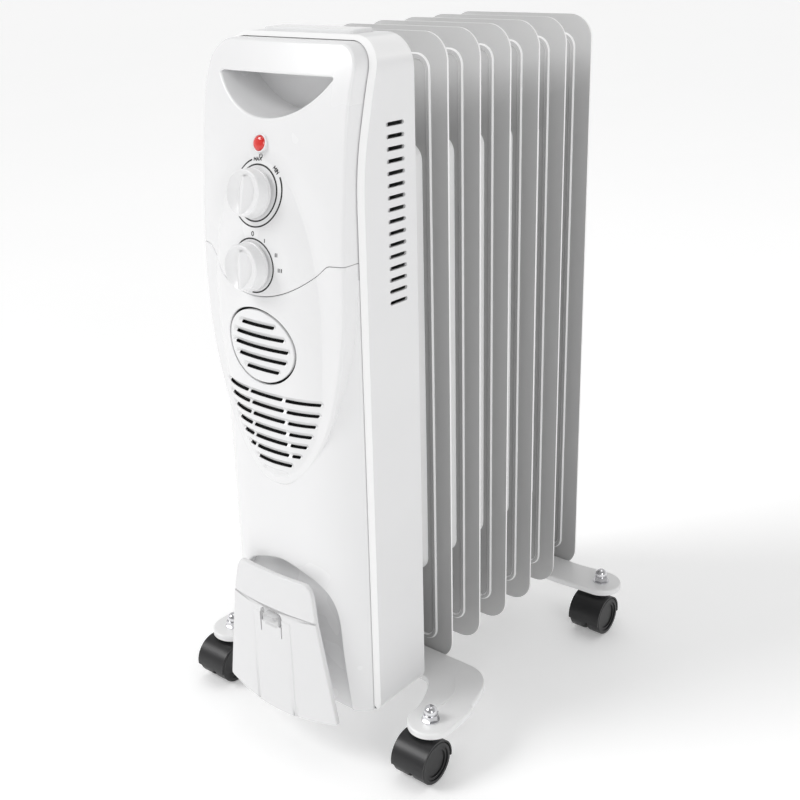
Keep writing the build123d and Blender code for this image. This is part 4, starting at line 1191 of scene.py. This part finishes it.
def plate_y(points):
    """Front of the plate: crowned across, its top band leaning back, its middle strip raised."""
    x, z = points[:, 0], points[:, 1]
    y = PLATE_FRONT_Y + STRIP_RISE + PLATE_CROWN * x ** 2 + PLATE_BAND_LEAN * np.maximum(z - PLATE_BAND_Z, 0)
    lift = np.clip((STRIP_HALF - np.abs(x)) / STRIP_SLOPE, 0, 1) * np.clip((STRIP_TOP_Z - z) / STRIP_SLOPE, 0, 1)
    tab = np.clip((TAB_HALF + 0.01 - np.abs(x)) / 2.2, 0, 1) * np.clip((z - CLIP_LOW_Z) / 4.0, 0, 1)
    tab = np.where(z < TAB_TOP_Z + 0.1, tab, 0)
    return y - STRIP_RISE * lift - TAB_RISE * np.sin(tab * math.pi / 2)


def make_cord_plate():
    """The plate that the cord winds behind, its drum, and its plug clip."""
    clip = clip_outline()

    def height(points):
        return plate_y(points) + round_over(distance(points, PLATE), PLATE_EDGE_R)

    band = [np.array(((-60, PLATE_BAND_Z), (60, PLATE_BAND_Z)), float)]
    strip = [np.array(((side * inner, 40), (side * inner, STRIP_TOP_Z)), float)
             for side in (-1, 1) for inner in (STRIP_HALF, STRIP_HALF - STRIP_SLOPE)]
    strip += [np.array(((-STRIP_HALF, level), (STRIP_HALF, level)), float)
              for level in (STRIP_TOP_Z, STRIP_TOP_Z - STRIP_SLOPE)]
    plate = Shape()
    plate.skin([PLATE, clip], height, 4.0, band + strip, edge_rings(PLATE, PLATE_EDGE_R))
    back = PLATE_FRONT_Y + PLATE_THICK

    def behind(points):
        return back + PLATE_CROWN * points[:, 0] ** 2 + PLATE_BAND_LEAN * np.maximum(points[:, 1] - PLATE_BAND_Z, 0)

    plate.walls(PLATE, height(PLATE), behind(PLATE), 1)
    plate.walls(clip, height(clip), behind(clip), -1)
    plate.skin([PLATE, clip], behind, 8.0, band, flip=True)
    corners = ((DRUM_X, DRUM_HIGH_Z), (-DRUM_X, DRUM_HIGH_Z), (-DRUM_X, DRUM_LOW_Z), (DRUM_X, DRUM_LOW_Z))
    drum = clean(np.vstack([arc(x, z, DRUM_R, DRUM_R, 90 * quarter, 90 * quarter + 90, 10)
                            for quarter, (x, z) in enumerate(corners)]))
    plate.walls(drum, behind(drum) - 0.5, np.full(len(drum), ARCH_FLOOR_Y), 1)
    plate.make("cord_plate", MATERIALS["plate_plastic"], "heater", ["cord_wrap_plate"])


# ---------------- build
make_camera()
make_world()
MATERIALS = make_materials()
make_floor()
dress_nodes(MATERIALS)
make_control_cover()
make_lower_cover()
make_round_grille()
make_slot_shade_sheet()
for dial, (height, tilt) in DIALS.items():
    make_dial(dial, height, tilt)
make_lamp()
make_prints()
make_cord_plate()
make_lights()
